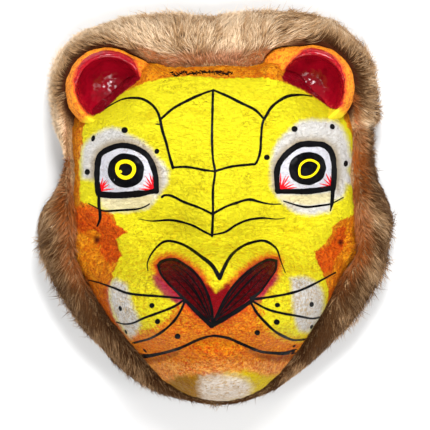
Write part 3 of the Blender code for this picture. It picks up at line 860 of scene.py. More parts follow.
def with_nose(finish, face, colour, narrow, tufts):
    """A colour with the nose on it, and the red and violet rubbed into the paint round it."""
    smear = finish.ramp(finish.plus(finish.attribute("nose_smear"), narrow), -3.0, 2.0, 0.0, 0.9)
    halo = finish.plus(finish.attribute("nostril"), narrow)
    wide_halo = finish.plus(halo, finish.times(tufts, 0.35))
    colour = finish.mix(finish.ramp(wide_halo, -11.0, -2.5, 0.0, 0.9), colour, shade("nose_halo"))
    colour = finish.mix(smear, colour, shade("nose_smear"))
    colour = finish.mix(finish.ramp(halo, -4.5, -0.5), colour, shade("nose_edge"))
    colour = finish.mix(finish.edge("nose_middle", narrow, 5.0), colour, shade("nose_middle"))
    red = finish.mix(finish.pattern("nose"), tuple(face.nose_red), shade("nose_dark"))
    return finish.mix(finish.edge("nostril", 0.0, 1.2), colour, red)


def with_shade_and_grime(finish, colour, pulp, fold):
    """A colour with painted shade in its dimples and in the hollows, wrinkles and folds of the pulp, and
    grime with painted shade in its pits.
    """
    # Painted shade in the pits of the dimples
    colour = finish.mix(finish.attribute("dimple_shade"), colour, shade("dimple_shade"))
    # Painted shade where the lumps of the pulp sink
    hollow_shade = finish.ramp(pulp, 0.30, 0.46, 0.34, 0.0)
    # Painted shade along the crinkles, more of it low on the face
    wrinkle = finish.times(finish.pattern("wrinkle"), finish.attribute("low"))
    # Painted shade in patches along the creases of the pulp
    bruise = finish.times(finish.pattern("bruise"), finish.ramp(fold, 0.0, 1.0, 0.85, 0.0))
    # Grime and painted shade in the pits of the crumpled pulp
    shade_and_grime = (("grime_and_shade", finish.near("pit", 0.3, 1.3, 0.0, 0.4)), ("hollow_shade", hollow_shade), ("wrinkle", wrinkle),
            ("bruise", bruise))
    for name, share in shade_and_grime:
        colour = finish.mix(share, colour, shade(name), "MULTIPLY")
    return colour


def painted_paper(face):
    """Brushed poster paint over lumpy, crinkled paper pulp, and bare paper inside."""
    finish = Finish("painted_paper", {"Roughness": 0.5, "Specular IOR Level": 0.07})
    wide = ragged_noise(finish, 150.0, 5.0)
    narrow = ragged_noise(finish, 320.0, 2.6, 7.0)
    both = finish.plus(wide, narrow)
    tuft = finish.noise(330.0, 6.0, 0.7, stretch=(1.2, 0.6, 1.0), distortion=0.6)
    tufts = finish.times(finish.math("SUBTRACT", tuft, 0.5), 44.0)
    pulp = finish.noise(260.0, 8.0, 0.66, stretch=(0.8, 1.7, 1.2), distortion=0.9)
    crease = finish.math("SUBTRACT", finish.noise(150.0, 6.0, 0.6, distortion=1.2), 0.5)
    fold = finish.ramp(finish.math("ABSOLUTE", crease), 0.0, 0.02)
    lower = finish.edge("lower_face", wide, 16.0)
    cheek_edge = finish.plus(both, finish.times(tufts, 0.3))
    muzzle_edge = finish.plus(finish.plus(both, tufts), 1.0)
    yellow_edge = finish.plus(finish.times(wide, 0.3), narrow)
    smear = finish.times(finish.pattern("smear"), 0.7)
    yellow = finish.mix(smear, tuple(face.yellow), tuple(face.deep_yellow))
    chin = finish.mix(finish.edge("chin_side", wide, 20.0), shade("chin_left"), shade("chin_right"))
    colour = wall_orange(finish, face)
    coats = (
        (finish.edge("cheek_red", cheek_edge, 3.0), cheek_orange(finish, face)),
        (lower, chin_orange(finish)),
        (finish.edge("yellow", yellow_edge, 1.6), yellow),
        (finish.edge("muzzle_orange", muzzle_edge, 10.0), muzzle_orange(finish, face)),
        (finish.edge("chin_yellow", both, 8.0), chin),
        (finish.edge("white", narrow, 7.0), patch_white(finish, face, lower)),
        (finish.near("lip_shade", -3.0, 4.0, 0.0, 0.75), shade("lip_shadow")),
    )
    for mask, paint in coats:
        colour = finish.mix(mask, colour, paint)
    colour = with_nose(finish, face, colour, narrow, tufts)
    colour = finish.mix(finish.edge("eye_white", 0.0, 1.0), colour, tuple(face.eye_white))
    colour = finish.mix(finish.edge("ear_red", narrow, 1.4), colour, linear(*EAR_RED))
    colour = with_shade_and_grime(finish, colour, pulp, fold)
    bare = finish.mix(finish.pattern("bare"), tuple(face.paper), shade("paper_dark"))
    finish.set("Base Color", finish.mix(finish.attribute("inside"), colour, bare))
    wet = finish.math("MAXIMUM", finish.edge("nostril", 0.0, 2.0), finish.edge("ear_red", 0.0, 2.0))
    finish.set("Roughness", finish.ramp(wet, 0.0, 1.0, finish.pattern("satin"), 0.22))
    folds = finish.bump(fold, 1.1 * MM, 0.7)
    lumps = finish.bump(pulp, 5.5 * MM, 1.0, folds)
    finish.set("Normal", finish.bump(finish.noise(1100.0, 4.0, 0.65), 0.6 * MM, 0.7, lumps))
    return finish.material


def crumple_heights(dome, height):
    """How far each point of the dome stands off the smooth surface, for lumps, pinched folds and pulp."""
    heights = []
    for vert in dome.verts:
        total = 0.0
        for crumple in CRUMPLES:
            value = noise.noise(vert.co / MM / crumple.size + Vector(crumple.shift))
            total += crumple.share * (1.0 - 2.0 * abs(value) if crumple.pinched else value)
        heights.append(total * height)
    return np.array(heights)


def add_inner_wall(dome, segments, rings):
    """The inside of the shell on a coarser net, joined to the outside along the rim."""
    inside_layer = dome.verts.layers.float.new("inside")
    border = [edge for edge in dome.edges if edge.is_boundary]
    wall = face_dome(segments, rings)
    inward = {vert: vert.co - vert.normal * WALL for vert in wall.verts}
    for vert, place in inward.items():
        at_rim = vert.is_boundary
        vert.co = place
        if at_rim:
            vert.co.z = 0.0
    bmesh.ops.reverse_faces(wall, faces=wall.faces)
    mesh = mesh_of(wall, "inner_wall")
    old = set(dome.verts)
    dome.from_mesh(mesh)
    bpy.data.meshes.remove(mesh)
    for vert in dome.verts:
        if vert not in old:
            vert[inside_layer] = 1.0
    new_border = [edge for edge in dome.edges if edge.is_boundary and edge.verts[0] not in old]
    bmesh.ops.bridge_loops(dome, edges=border + new_border)


class TIGERMASK_OT_painted_face(bpy.types.Operator):
    """Build the painted papier-mache shell"""

    bl_idname = "tigermask.painted_face"
    bl_label = "Painted face"

    def execute(self, context):
        face = context.scene.tiger_mask_face
        dome = face_dome(face.segments, face.rings)
        heights = crumple_heights(dome, face.crumple)
        spots = to_picture(np.array([vert.co for vert in dome.verts]))
        pressed = sum(depth * np.exp(-(np.hypot(*(spots - (x, y)).T) / (radius * DIMPLE_SLOPE)) ** 2)
                      for x, y, radius, depth in DIMPLES)
        heights *= 1.0 + ORANGE_ROUGHER * fade(-depth_inside(spots, YELLOW), 0.0, ROUGHER_WITHIN)
        for vert, height, press in zip(dome.verts, heights, pressed):
            near_rim = min(max(vert.co.z / SMOOTH_RIM, 0.0), 1.0)
            vert.co = vert.co + vert.normal * float(height) * near_rim - Vector((0, 0, press * MM))
        pit_layer = dome.verts.layers.float.new("pit")
        for vert, height in zip(dome.verts, heights):
            vert[pit_layer] = min(max(-float(height) / face.crumple, 0.0), 1.0)
        add_inner_wall(dome, face.segments // INNER_COARSER, face.rings // INNER_COARSER)
        bmesh.ops.triangulate(dome, faces=dome.faces)
        mesh = mesh_of(dome, "painted_face")
        spots = to_picture(coordinates(mesh.vertices))
        for name, outlines in AREAS.items():
            set_attribute(mesh, name, deepest(spots, outlines))
        chin = depth_inside(spots, CHIN_WHITE) * CHIN_SOFTNESS
        set_attribute(mesh, "white", np.maximum(deepest(spots, WHITE_PATCHES), chin))
        # Painted shade in the pits of the dimples, darkest at their middles
        dimple_shade = np.max([fade(np.hypot(*(spots - (x, y)).T), radius, 0.5)
                         for x, y, radius, _ in DIMPLES], axis=0)
        set_attribute(mesh, "dimple_shade", dimple_shade)
        across, down = spots.T
        set_attribute(mesh, "chin_side", across - CHIN_MIDDLE)
        set_attribute(mesh, "lower_face", down - LOWER_FACE_TOP)
        set_attribute(mesh, "low", 0.1 + 0.9 * fade(down, *LOW_SHADE))
        set_attribute(mesh, "low_wall", 0.75 * fade(down, *LOW_WALL_SHADE))
        piece = finish_piece("painted_face", mesh, painted_paper(face))
        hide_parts("mask_shell")
        return {"FINISHED"}


def face_tree():
    """The painted face as a tree that rays can be cast on."""
    builder = bmesh.new()
    builder.from_mesh(bpy.data.objects["painted_face"].data)
    tree = BVHTree.FromBMesh(builder)
    builder.free()
    return tree


def on_face(tree, across, down, lift):
    """The spot on the face that shows at a place in the picture, lifted off it."""
    origin = Vector((CAMERA_X, CAMERA_Y, CAMERA_HEIGHT)) * MM
    ray = Vector(((across - PICTURE_MIDDLE) * UNIT_SPAN, (PICTURE_MIDDLE - down) * UNIT_SPAN, -1.0))
    place, normal, _, _ = tree.ray_cast(origin, ray.normalized())
    if place is None:
        place, normal, _, _ = tree.find_nearest(origin + ray * (CAMERA_HEIGHT - MISSED_HEIGHT) * MM)
    return place + normal * lift


def guided(points):
    """Points with one more at each end, straight on from the last two."""
    return [2 * points[0] - points[1]] + points + [2 * points[-1] - points[-2]]


def spline(points, steps):
    """Places on a smooth curve through points, of which the first and the last only guide it."""
    fine = []
    for p0, p1, p2, p3 in zip(points, points[1:], points[2:], points[3:]):
        for share in np.linspace(0.0, 1.0, steps, endpoint=False):
            fine.append(0.5 * (2 * p1 + (p2 - p0) * share + (2 * p0 - 5 * p1 + 4 * p2 - p3) * share**2
                               + (3 * p1 - p0 - 3 * p2 + p3) * share**3))
    return fine + [points[-2]]


def curve_through(points, step=1.0, closed=False):
    """Evenly spaced places, directions and distances along a smooth curve through points."""
    points = [np.array(point, float) for point in points]
    fine = np.array(spline([points[-1]] + points + points[:2] if closed else guided(points), CURVE_STEPS))
    far = np.concatenate(([0.0], np.cumsum(np.linalg.norm(np.diff(fine, axis=0), axis=1))))
    stops = np.linspace(0.0, far[-1], max(int(round(far[-1] / step)), 4) + 1)
    places = np.stack([np.interp(stops, far, fine[:, axis]) for axis in (0, 1)], axis=1)
    ahead = np.gradient(places, axis=0)
    return places, ahead / np.linalg.norm(ahead, axis=1)[:, None], stops


def waver(stops, size, seed, level):
    return np.array([noise.noise(Vector((stop / size, seed, level))) for stop in stops])


def brush_width(width, start, end, stops, seed):
    """A stroke's width along its way, thinner or thicker at its ends and uneven as a hand leaves it."""
    share = stops / stops[-1]
    first = start + (1 - start) * fade(share, 0.0, STROKE_END)
    last = end + (1 - end) * fade(1 - share, 0.0, STROKE_END)
    slow = waver(stops, SLOW_WAVER[0], seed * 7.3, 0.0) * SLOW_WAVER[1]
    quick = waver(stops, QUICK_WAVER[0], seed, 5.0) * QUICK_WAVER[1]
    return width * np.where(share < 0.5, first, last) * BRUSH_SPREAD * (1.0 + slow + quick)


def thicken(builder, faces, depth):
    """Turn a sheet of faces into a closed layer of paint that reaches down into the paper."""
    bmesh.ops.recalc_face_normals(builder, faces=faces)
    if sum(face.normal.z for face in faces) < 0:
        bmesh.ops.reverse_faces(builder, faces=faces)
    builder.normal_update()
    low = {vert: vert.co - vert.normal * depth for face in faces for vert in face.verts}
    bmesh.ops.extrude_face_region(builder, geom=faces, use_keep_orig=True)
    for vert, place in low.items():
        vert.co = place
    bmesh.ops.reverse_faces(builder, faces=faces)


def add_stroke(builder, tree, points, widths, lift, depth, seed, closed=False):
    """A flat ribbon of paint along a curve, laid on the face, with rounded ends."""
    places, ahead, stops = curve_through(points, closed=closed)
    width = brush_width(*widths, stops, seed)
    if closed:
        width[:] = widths[0]
    across = np.stack((-ahead[:, 1], ahead[:, 0]), axis=1)
    last = len(stops) - 1
    made = bmesh.ops.create_grid(builder, x_segments=last, y_segments=STROKE_ROWS, size=1.0)["verts"]
    for vert in made:
        number = int(round((vert.co.x + 1) / 2 * last))
        side = vert.co.y
        spot = places[number] + across[number] * side * width[number] / 2
        if not closed and number in (0, last):
            bulge = width[number] * ROUND_END * (1 - side * side) ** 0.5
            spot = spot + ahead[number] * (bulge if number else -bulge)
        vert.co = on_face(tree, *spot, lift)
    if closed:
        bmesh.ops.remove_doubles(builder, verts=made, dist=MERGE)
        made = [vert for vert in made if vert.is_valid]
    thicken(builder, list({face for vert in made for face in vert.link_faces}), depth)


def add_dab(builder, tree, dab, lift, depth, cells=6):
    """A round or oval dab of paint laid on the face."""
    across, down, width, height, turn = dab
    cos, sin = math.cos(math.radians(turn)), math.sin(math.radians(turn))
    made = bmesh.ops.create_grid(builder, x_segments=cells, y_segments=cells, size=1.0)["verts"]
    for vert in made:
        x, y = vert.co.x, vert.co.y
        round_x = x * math.sqrt(1 - y * y / 2) * width / 2
        round_y = y * math.sqrt(1 - x * x / 2) * height / 2
        waver = 1.0 + 0.06 * noise.noise(Vector((across + x, down + y, 2.0)) * 1.7)
        spot_x = across + (round_x * cos - round_y * sin) * waver
        spot_y = down + (round_x * sin + round_y * cos) * waver
        vert.co = on_face(tree, spot_x, spot_y, lift)
    thicken(builder, list({face for vert in made for face in vert.link_faces}), depth)


def brushed_paint(name, colour, worn, roughness):
    """Enamel paint laid on with a brush, a little thin in places, where its worn shade shows."""
    finish = Finish(name, {"Roughness": roughness, "Specular IOR Level": 0.05})
    finish.set("Base Color", finish.flecked(colour, ("thin", 0.3, worn)))
    finish.set("Roughness", finish.ramp(finish.noise(300.0), 0.3, 0.7, roughness, roughness + 0.16))
    finish.set("Normal", finish.bump(finish.noise(900.0, 3.0), 0.22 * MM, 0.5))
    return finish.material


def paint_piece(name, builder, material):
    finish_piece(name, mesh_of(builder, name), material, PAINT_EDGE)


class TIGERMASK_OT_brush_lines(bpy.types.Operator):
    """Paint the contour lines, whiskers and dots"""

    bl_idname = "tigermask.brush_lines"
    bl_label = "Brush lines"

    def execute(self, context):
        paint = context.scene.tiger_mask_paint
        tree = face_tree()
        material = brushed_paint("black_paint", tuple(paint.black), "black_worn", 0.4)
        lines = bmesh.new()
        for number, line in enumerate(LINES):
            lift = paint.lift * (1.0 + 0.12 * (number % 5))
            widths = (line.width, line.start, line.end)
            add_stroke(lines, tree, line.points, widths, lift, paint.depth, number)
        rng = np.random.default_rng(3)
        for number in range(DABS_COUNT):
            share = (number + rng.random()) / DABS_COUNT
            x = DABS_START[0] + (DABS_END[0] - DABS_START[0]) * share
            y = DABS_START[1] + (DABS_END[1] - DABS_START[1]) * share
            y += rng.normal() * DABS_SPREAD - DABS_ARCH * math.sin(math.pi * share)
            long, turn = 1.0 + 1.6 * rng.random(), rng.normal() * 0.7
            away = np.array((math.cos(turn), math.sin(turn))) * long
            ends = ((x - away[0], y - away[1]), (x, y + 0.3), (x + away[0], y + away[1]))
            lift = paint.lift * (0.7 + 0.1 * (number % 7))
            add_stroke(lines, tree, ends, (0.8 + 0.5 * rng.random(), 0.4, 0.4), lift, paint.depth, number)
        paint_piece("contour_lines", lines, material)
        dots = bmesh.new()
        for dot in DOTS:
            add_dab(dots, tree, dot, paint.lift * 1.7, paint.depth)
        paint_piece("dots", dots, material)
        return {"FINISHED"}


class TIGERMASK_OT_eyes(bpy.types.Operator):
    """Paint the irises, their rings and the red veins"""

    bl_idname = "tigermask.eyes"
    bl_label = "Eyes"

    def execute(self, context):
        paint = context.scene.tiger_mask_paint
        tree = face_tree()
        gloss = brushed_paint("gloss_black_paint", tuple(paint.black), "gloss_worn", 0.26)
        irises = bmesh.new()
        for iris in IRISES:
            add_dab(irises, tree, iris, paint.lift * 1.1, paint.depth, 24)
        paint_piece("irises", irises, gloss)
        rings = bmesh.new()
        for number, ring in enumerate(RINGS):
            widths = (ring.width, 1.0, 1.0)
            add_stroke(rings, tree, ring.points, widths, paint.lift * 2.4, paint.depth, number, True)
        add_dab(rings, tree, PUPIL_NOTCH, paint.lift * 2.2, paint.depth)
        ring_paint = brushed_paint("ring_yellow_paint", tuple(paint.ring_yellow), "ring_worn", 0.4)
        paint_piece("eye_rings", rings, ring_paint)
        veins = bmesh.new()
        for number, (root, tips) in enumerate(VEINS):
            for tip in tips:
                middle = ((root[0] + tip[0]) / 2, (root[1] + tip[1]) / 2)
                way = (root, middle, tip)
                add_stroke(veins, tree, way, VEIN_WIDTHS, paint.lift * 0.8, paint.depth, number)
        vein_paint = brushed_paint("vein_red_paint", tuple(paint.vein_red), "vein_worn", 0.4)
        paint_piece("veins", veins, vein_paint)
        return {"FINISHED"}


def ear_material(ears):
    """Thick gloss red inside the cup, rough orange pulp on its rim and outside."""
    finish = Finish("ear_paint", {"Roughness": 0.2, "Specular IOR Level": 0.28})
    ragged = ragged_noise(finish, 300.0, 2.2, 6.0)
    red_mask = finish.edge("red", ragged, 1.2)
    red = finish.mix(finish.pattern("pool"), tuple(ears.dark_red), tuple(ears.red))
    worn = finish.times(finish.near("red", 1.0, 7.0, 1.0, 0.0), finish.pattern("worn"))
    red = finish.mix(finish.times(worn, 0.6), red, shade("ear_worn"))
    orange = finish.mix(finish.pattern("mottle"), shade("ear_deep"), tuple(ears.rim))
    orange = finish.flecked(orange, ("fibre", 0.65, "ear_fibre"))
    blush = finish.ramp(finish.plus(finish.attribute("red"), ragged), -4.0, -0.5)
    orange = finish.mix(finish.times(blush, 0.8), orange, shade("ear_blush"))
    orange = finish.mix(finish.near("yellow", -6.0, 2.0, 0.0, 0.9), orange, shade("ear_yellow"))
    finish.set("Base Color", finish.mix(red_mask, orange, red))
    finish.set("Roughness", finish.ramp(red_mask, 0.0, 1.0, 0.75, 0.09))
    rough = finish.ramp(red_mask, 0.0, 1.0, 1.0, 0.04)
    lumpy = finish.ramp(red_mask, 0.0, 1.0, 1.0, 0.15)
    lumps = finish.bump(finish.times(finish.noise(120.0, 4.0, 0.55), lumpy), 2.2 * MM, 0.6)
    pulp = finish.bump(finish.times(finish.noise(300.0, 7.0, 0.68), rough), 2.4 * MM, 0.9, lumps)
    glaze = finish.bump(finish.noise(190.0, 3.0, 0.6), 0.12 * MM, 1.0, pulp)
    grain = finish.times(finish.noise(1100.0, 4.0, 0.65), rough)
    finish.set("Normal", finish.bump(grain, 0.5 * MM, 0.7, glaze))
    return finish.material


def ear_matrix(ear):
    place = Matrix.Translation(Vector((ear.x, ear.y, ear.z)) * MM)
    place @= Matrix.Rotation(math.radians(ear.lean_out), 4, "Y")
    return place @ Matrix.Rotation(math.radians(ear.lean_up), 4, "X")


def flare(ear, place):
    """How far in millimetres an ear's foot stands out at a place given in the cup's own millimetres."""
    most, towards, half = EAR_FLARES[ear.name]
    apart = (math.degrees(math.atan2(place.y, place.x)) - towards + 180.0) % FULL_TURN - 180.0
    if abs(apart) >= half:
        return 0.0
    return most * math.cos(math.radians(90.0 * apart / half)) ** 2


def turned(profile, steps):
    """A profile of radii and heights in millimetres, turned about Z."""
    builder = bmesh.new()
    verts = [builder.verts.new((radius * MM, 0.0, height * MM)) for radius, height in profile]
    edges = [builder.edges.new(pair) for pair in zip(verts, verts[1:])]
    bmesh.ops.spin(builder, geom=verts + edges, cent=(0, 0, 0), axis=(0, 0, 1), angle=2 * math.pi,
                   steps=steps, use_merge=True)
    bmesh.ops.remove_doubles(builder, verts=builder.verts, dist=MERGE)
    bmesh.ops.recalc_face_normals(builder, faces=builder.faces)
    return builder


def ear_cup(steps):
    """The ear's profile, smoothed and turned."""
    places, _, _ = curve_through(EAR_PROFILE, step=EAR_STEP)
    places[:, 0] = np.maximum(places[:, 0], 0.0)
    places[0, 0] = places[-1, 0] = 0.0
    return turned(places, steps)


def seat_cutter():
    """The shell and its hollow as one block, a little inside the painted face, to cut its neighbours with."""
    dome = face_dome(*SEAT_NET)
    inward = {vert: vert.co - vert.normal * SEAT_SINK for vert in dome.verts}
    for vert, place in inward.items():
        vert.co = place
    border = [edge for edge in dome.edges if edge.is_boundary]
    for item in bmesh.ops.extrude_edge_only(dome, edges=border)["geom"]:
        if isinstance(item, bmesh.types.BMVert):
            item.co.z = -SEAT_DEPTH
    bmesh.ops.holes_fill(dome, edges=[edge for edge in dome.edges if edge.is_boundary])
    bmesh.ops.triangulate(dome, faces=dome.faces)
    bmesh.ops.recalc_face_normals(dome, faces=dome.faces)
    return dome


def cut_mesh(builder, name, *cutters):
    """A mesh with cutters taken away from it. The cutters are builders and stay as they are."""
    target = bpy.data.objects.new(name, mesh_of(builder, name))
    bpy.context.scene.collection.objects.link(target)
    helpers = []
    for number, cutter in enumerate(cutters):
        helper_mesh = bpy.data.meshes.new(f"{name}_cutter_{number}")
        cutter.to_mesh(helper_mesh)
        helper = bpy.data.objects.new(helper_mesh.name, helper_mesh)
        bpy.context.scene.collection.objects.link(helper)
        modifier = target.modifiers.new("cut", "BOOLEAN")
        modifier.operation = "DIFFERENCE"
        modifier.solver = "EXACT"
        modifier.object = helper
        helpers.append(helper)
    shown = target.evaluated_get(bpy.context.evaluated_depsgraph_get())
    result = bmesh.new()
    result.from_mesh(shown.to_mesh())
    shown.to_mesh_clear()
    for spent in [target] + helpers:
        mesh = spent.data
        bpy.data.objects.remove(spent)
        bpy.data.meshes.remove(mesh)
    return result


def inward_share(place):
    """More than 0 for a point on the rim or inside of an ear cup, given in the cup's own millimetres."""
    if place.z > RED_RIM_FROM:
        return 1.0
    radius = math.hypot(place.x, place.y)
    outer = EAR_PROFILE[1:EAR_OUTER_POINTS + 2]
    wall = float(np.interp(place.z, [height for _, height in outer], [wide for wide, _ in outer]))
    return wall - EAR_WALL - radius


class TIGERMASK_OT_ears(bpy.types.Operator):
    """Turn the two ear cups and seat them on the shell"""

    bl_idname = "tigermask.ears"
    bl_label = "Ears"

    def execute(self, context):
        ears = context.scene.tiger_mask_ears
        material = ear_material(ears)
        seat = seat_cutter()
        for number, ear in enumerate(EAR_PLACES):
            cup = ear_cup(ears.steps)
            cup.normal_update()
            moved = {}
            for vert in cup.verts:
                place = vert.co / MM
                spot = place + Vector((EAR_SHIFT * number, 0, 0))
                lump = sum(share * noise.noise(spot / size) for size, share in EAR_LUMPS)
                moved[vert] = vert.co + vert.normal * lump * MM
                aside = Vector((place.x, place.y, 0.0)).normalized()
                if vert.normal.dot(aside) > 0.0:
                    out = np.interp(place.z, *zip(*FLARE_HEIGHTS)) * flare(ear, place)
                    moved[vert] += aside * float(out) * MM
            for vert, place in moved.items():
                vert.co = place
            bmesh.ops.transform(cup, matrix=ear_matrix(ear), verts=cup.verts)
            cup = cut_mesh(cup, ear.name, seat)
            bmesh.ops.triangulate(cup, faces=cup.faces)
            mesh = mesh_of(cup, ear.name + "_cup")
            back = ear_matrix(ear).inverted()
            inward = [inward_share(back @ vert.co / MM) for vert in mesh.vertices]
            spots = to_picture(coordinates(mesh.vertices))
            painted = deepest(spots, EAR_REDS)
            set_attribute(mesh, "red", np.where(np.array(inward) > 0.0, painted, NOT_RED))
            set_attribute(mesh, "yellow", depth_inside(spots, YELLOW))
            piece = finish_piece(ear.name + "_cup", mesh, material, SHARP_EDGE)
            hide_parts(ear.name)
        seat.free()
        return {"FINISHED"}


# The strips: number of parts of the backing, way of combing, and how far the hair stands past the backing
STRIPS = table("Strip", "name stations parts comb rise", (
    ("fur_crown", FUR_CROWN, 96, 0.0, 0.5),
    ("fur_side_left", FUR_LEFT, 90, 1.0, 4.0),
    ("fur_side_right", FUR_RIGHT, 92, -1.0, 4.0),
))
LEAST_BACKING = 0.5
SEAM_OVERLAP = 1.6
LIP_STEPS = (0.0, 0.2, 0.4, 0.6, 0.8, 1.0)
LIP_SHARE = 0.94
LIP_GAP = 1.0
LOWEST_PROBE = 0.3
PROBE_FROM = 80.0
SECTION_STEPS = 4
RIDGE_DROP = 0.10
FULL_REACH = 20.0


def strip_ring(tree, strip, angle):
    """A strip's backing cut at an angle: its outline up beside the shell, over the roll and down."""
    turn = math.radians(angle)
    direction = Vector((math.cos(turn), math.sin(turn), 0.0))
    reach, lip, ridge = (float(smooth_between(strip.stations, column, np.array(angle)))
                         for column in ("reach", "lip", "ridge"))
    start = Vector((*SHELL_CENTRE, 0.0)) + direction * float(rim_radius(np.array(turn)))
    points = []
    for share in LIP_STEPS:
        height = share * lip * LIP_SHARE
        origin = (start + direction * PROBE_FROM + Vector((0, 0, max(height, LOWEST_PROBE)))) * MM
        place, _, _, _ = tree.ray_cast(origin, -direction)
        if place is None:
            place = (start + Vector((0, 0, height))) * MM
        place = place - direction * LIP_GAP * MM
        points.append(Vector((place.x, place.y, height * MM)))
    out = max(reach - strip.rise, reach * LEAST_BACKING)
    low = 1.0 - RIDGE_DROP * min(1.0, reach / FULL_REACH)
    curve = [np.array(points[-1])]
    for share_out, share_up in FUR_SECTION:
        place = (start + direction * out * share_out + Vector((0, 0, ridge * share_up * low))) * MM
        curve.append(np.array(place))
    for place in spline(guided(curve), SECTION_STEPS)[1:]:
        points.append(Vector((place[0], place[1], max(place[2], 0.0))))
    return points


def strip_backing(tree, strip):
    """A loft of the strip's outline round the shell, closed at both ends."""
    builder = bmesh.new()
    first, last = strip.stations[0].angle, strip.stations[-1].angle
    if not strip.comb:
        first, last = first - SEAM_OVERLAP, last + SEAM_OVERLAP
    loops, rings = [], []
    for number in range(strip.parts + 1):
        angle = first + (last - first) * number / strip.parts
        ring = [builder.verts.new(point) for point in strip_ring(tree, strip, angle)]
        rings.append(ring)
        loops.append([builder.edges.new((ring[i], ring[(i + 1) % len(ring)])) for i in range(len(ring))])
    for before, after in zip(loops, loops[1:]):
        bmesh.ops.bridge_loops(builder, edges=before + after)
    for ring in (rings[0], rings[-1]):
        builder.faces.new(ring)
    bmesh.ops.triangulate(builder, faces=builder.faces)
    bmesh.ops.recalc_face_normals(builder, faces=builder.faces)
    return builder


def ear_pocket(ear):
    """The space round an ear that the fur keeps clear of."""
    outer = [(radius + EAR_ROOM, height - EAR_ROOM) for radius, height in EAR_PROFILE[1:]][:EAR_OUTER_POINTS]
    widest = max(radius for radius, _ in outer)
    profile = [(0.0, -EAR_ROOM)] + outer[:-1] + [(widest, POCKET_TOP), (0.0, POCKET_TOP)]
    builder = turned(profile, POCKET_STEPS)
    for vert in builder.verts:
        if math.hypot(vert.co.x, vert.co.y) > POCKET_SIDE * widest * MM:
            vert.co += Vector((vert.co.x, vert.co.y, 0.0)).normalized() * flare(ear, vert.co) * MM
    bmesh.ops.transform(builder, matrix=ear_matrix(ear), verts=builder.verts)
    return builder


def hair_material(fur):
    """Soft animal hair: pale tips, brown roots and patches, stained by paint beside the face."""
    finish = Finish("fur_hair", {"Roughness": 0.62, "Specular IOR Level": 0.07, "Sheen Weight": 0.02,
                                 "Sheen Roughness": 0.5})
    tone = finish.attribute("tone")
    dark_to_middle = finish.mix(finish.ramp(tone, 0.0, 0.5), tuple(fur.dark), tuple(fur.middle))
    colour = finish.mix(finish.ramp(tone, 0.5, 1.0), dark_to_middle, tuple(fur.light))
    colour = finish.mix(finish.attribute("dye"), colour, tuple(fur.dye))
    finish.set("Base Color", colour)
    return finish.material


def backing_material(fur):
    """The hide under the hair, streaked as short hair is."""
    finish = Finish("fur_backing", {"Roughness": 0.9, "Specular IOR Level": 0.1})
    streak = finish.noise(900.0, 4.0, 0.7)
    colour = finish.mix(finish.ramp(streak, 0.3, 0.7), tuple(fur.dark), tuple(fur.middle))
    colour = finish.mix(finish.attribute("shaded"), colour, shade("hide_shadow"))
    finish.set("Base Color", colour)
    finish.set("Normal", finish.bump(streak, 0.8 * MM, 0.8))
    return finish.material


# Each hair: its points and triangles, its width at the bend, and its shade from root to tip
HAIR_POINTS = 7
HAIR_TRIANGLES = 10
MOST_TRIANGLES = 190000
BEND_WIDTH = 0.40
ROOT_DARKER = 0.30
TIP_LIGHTER = 0.46
HAIR_ALONG = (0.0, 0.0, 0.0, 0.55, 0.55, 0.55, 1.0)
ROOT_SINK = 0.3 * MM
LEAST_CLEARANCE = 1.5 * MM

# Waves in the fur: size in metres and seed of the noise
SWIRL = (34 * MM, 3.0)
FINE = (9 * MM, 8.0)
PATCH = (26 * MM, 11.0)
WISP = (4.5 * MM, 21.0)

FLAT = np.array((1, 1, 0))

# Hair over the edge of the paper: how far past the rim its roots are, and the share of hairs that lean in
FRINGE_WITHIN = 3.5 * MM
FRINGE_SHARE = 0.6


def surface_samples(mesh, count, rng):
    """Random places, spread evenly by area, on a mesh of triangles: places, smooth and flat normals."""
    mesh.calc_loop_triangles()
    corners = np.zeros(len(mesh.loop_triangles) * 3, np.int32)
    mesh.loop_triangles.foreach_get("vertices", corners)
    corners = corners.reshape(-1, 3)
    places, normals = coordinates(mesh.vertices), coordinates(mesh.vertices, "normal")
    a, b, c = (places[corners[:, i]] for i in range(3))
    flat = np.cross(b - a, c - a)
    areas = np.linalg.norm(flat, axis=1) / 2
    picked = rng.choice(len(areas), size=count, p=areas / areas.sum())
    u, v = rng.random(count), rng.random(count)
    over = u + v > 1
    u[over], v[over] = 1 - u[over], 1 - v[over]
    weights = np.stack((1 - u - v, u, v), axis=1)[:, :, None]
    roots = (places[corners[picked]] * weights).sum(axis=1)
    return roots, unit((normals[corners[picked]] * weights).sum(axis=1)), unit(flat[picked], 1e-12)


def noise_field(places, size, seed):
    """Smooth noise between -1 and 1 at places, with patches of a size in metres."""
    shift = Vector((seed * 3.1, seed * 1.7, seed * 5.3))
    return np.array([noise.noise(Vector(place) / size + shift) for place in places])


def unit(vectors, least=1e-9):
    return vectors / (np.linalg.norm(vectors, axis=1)[:, None] + least)


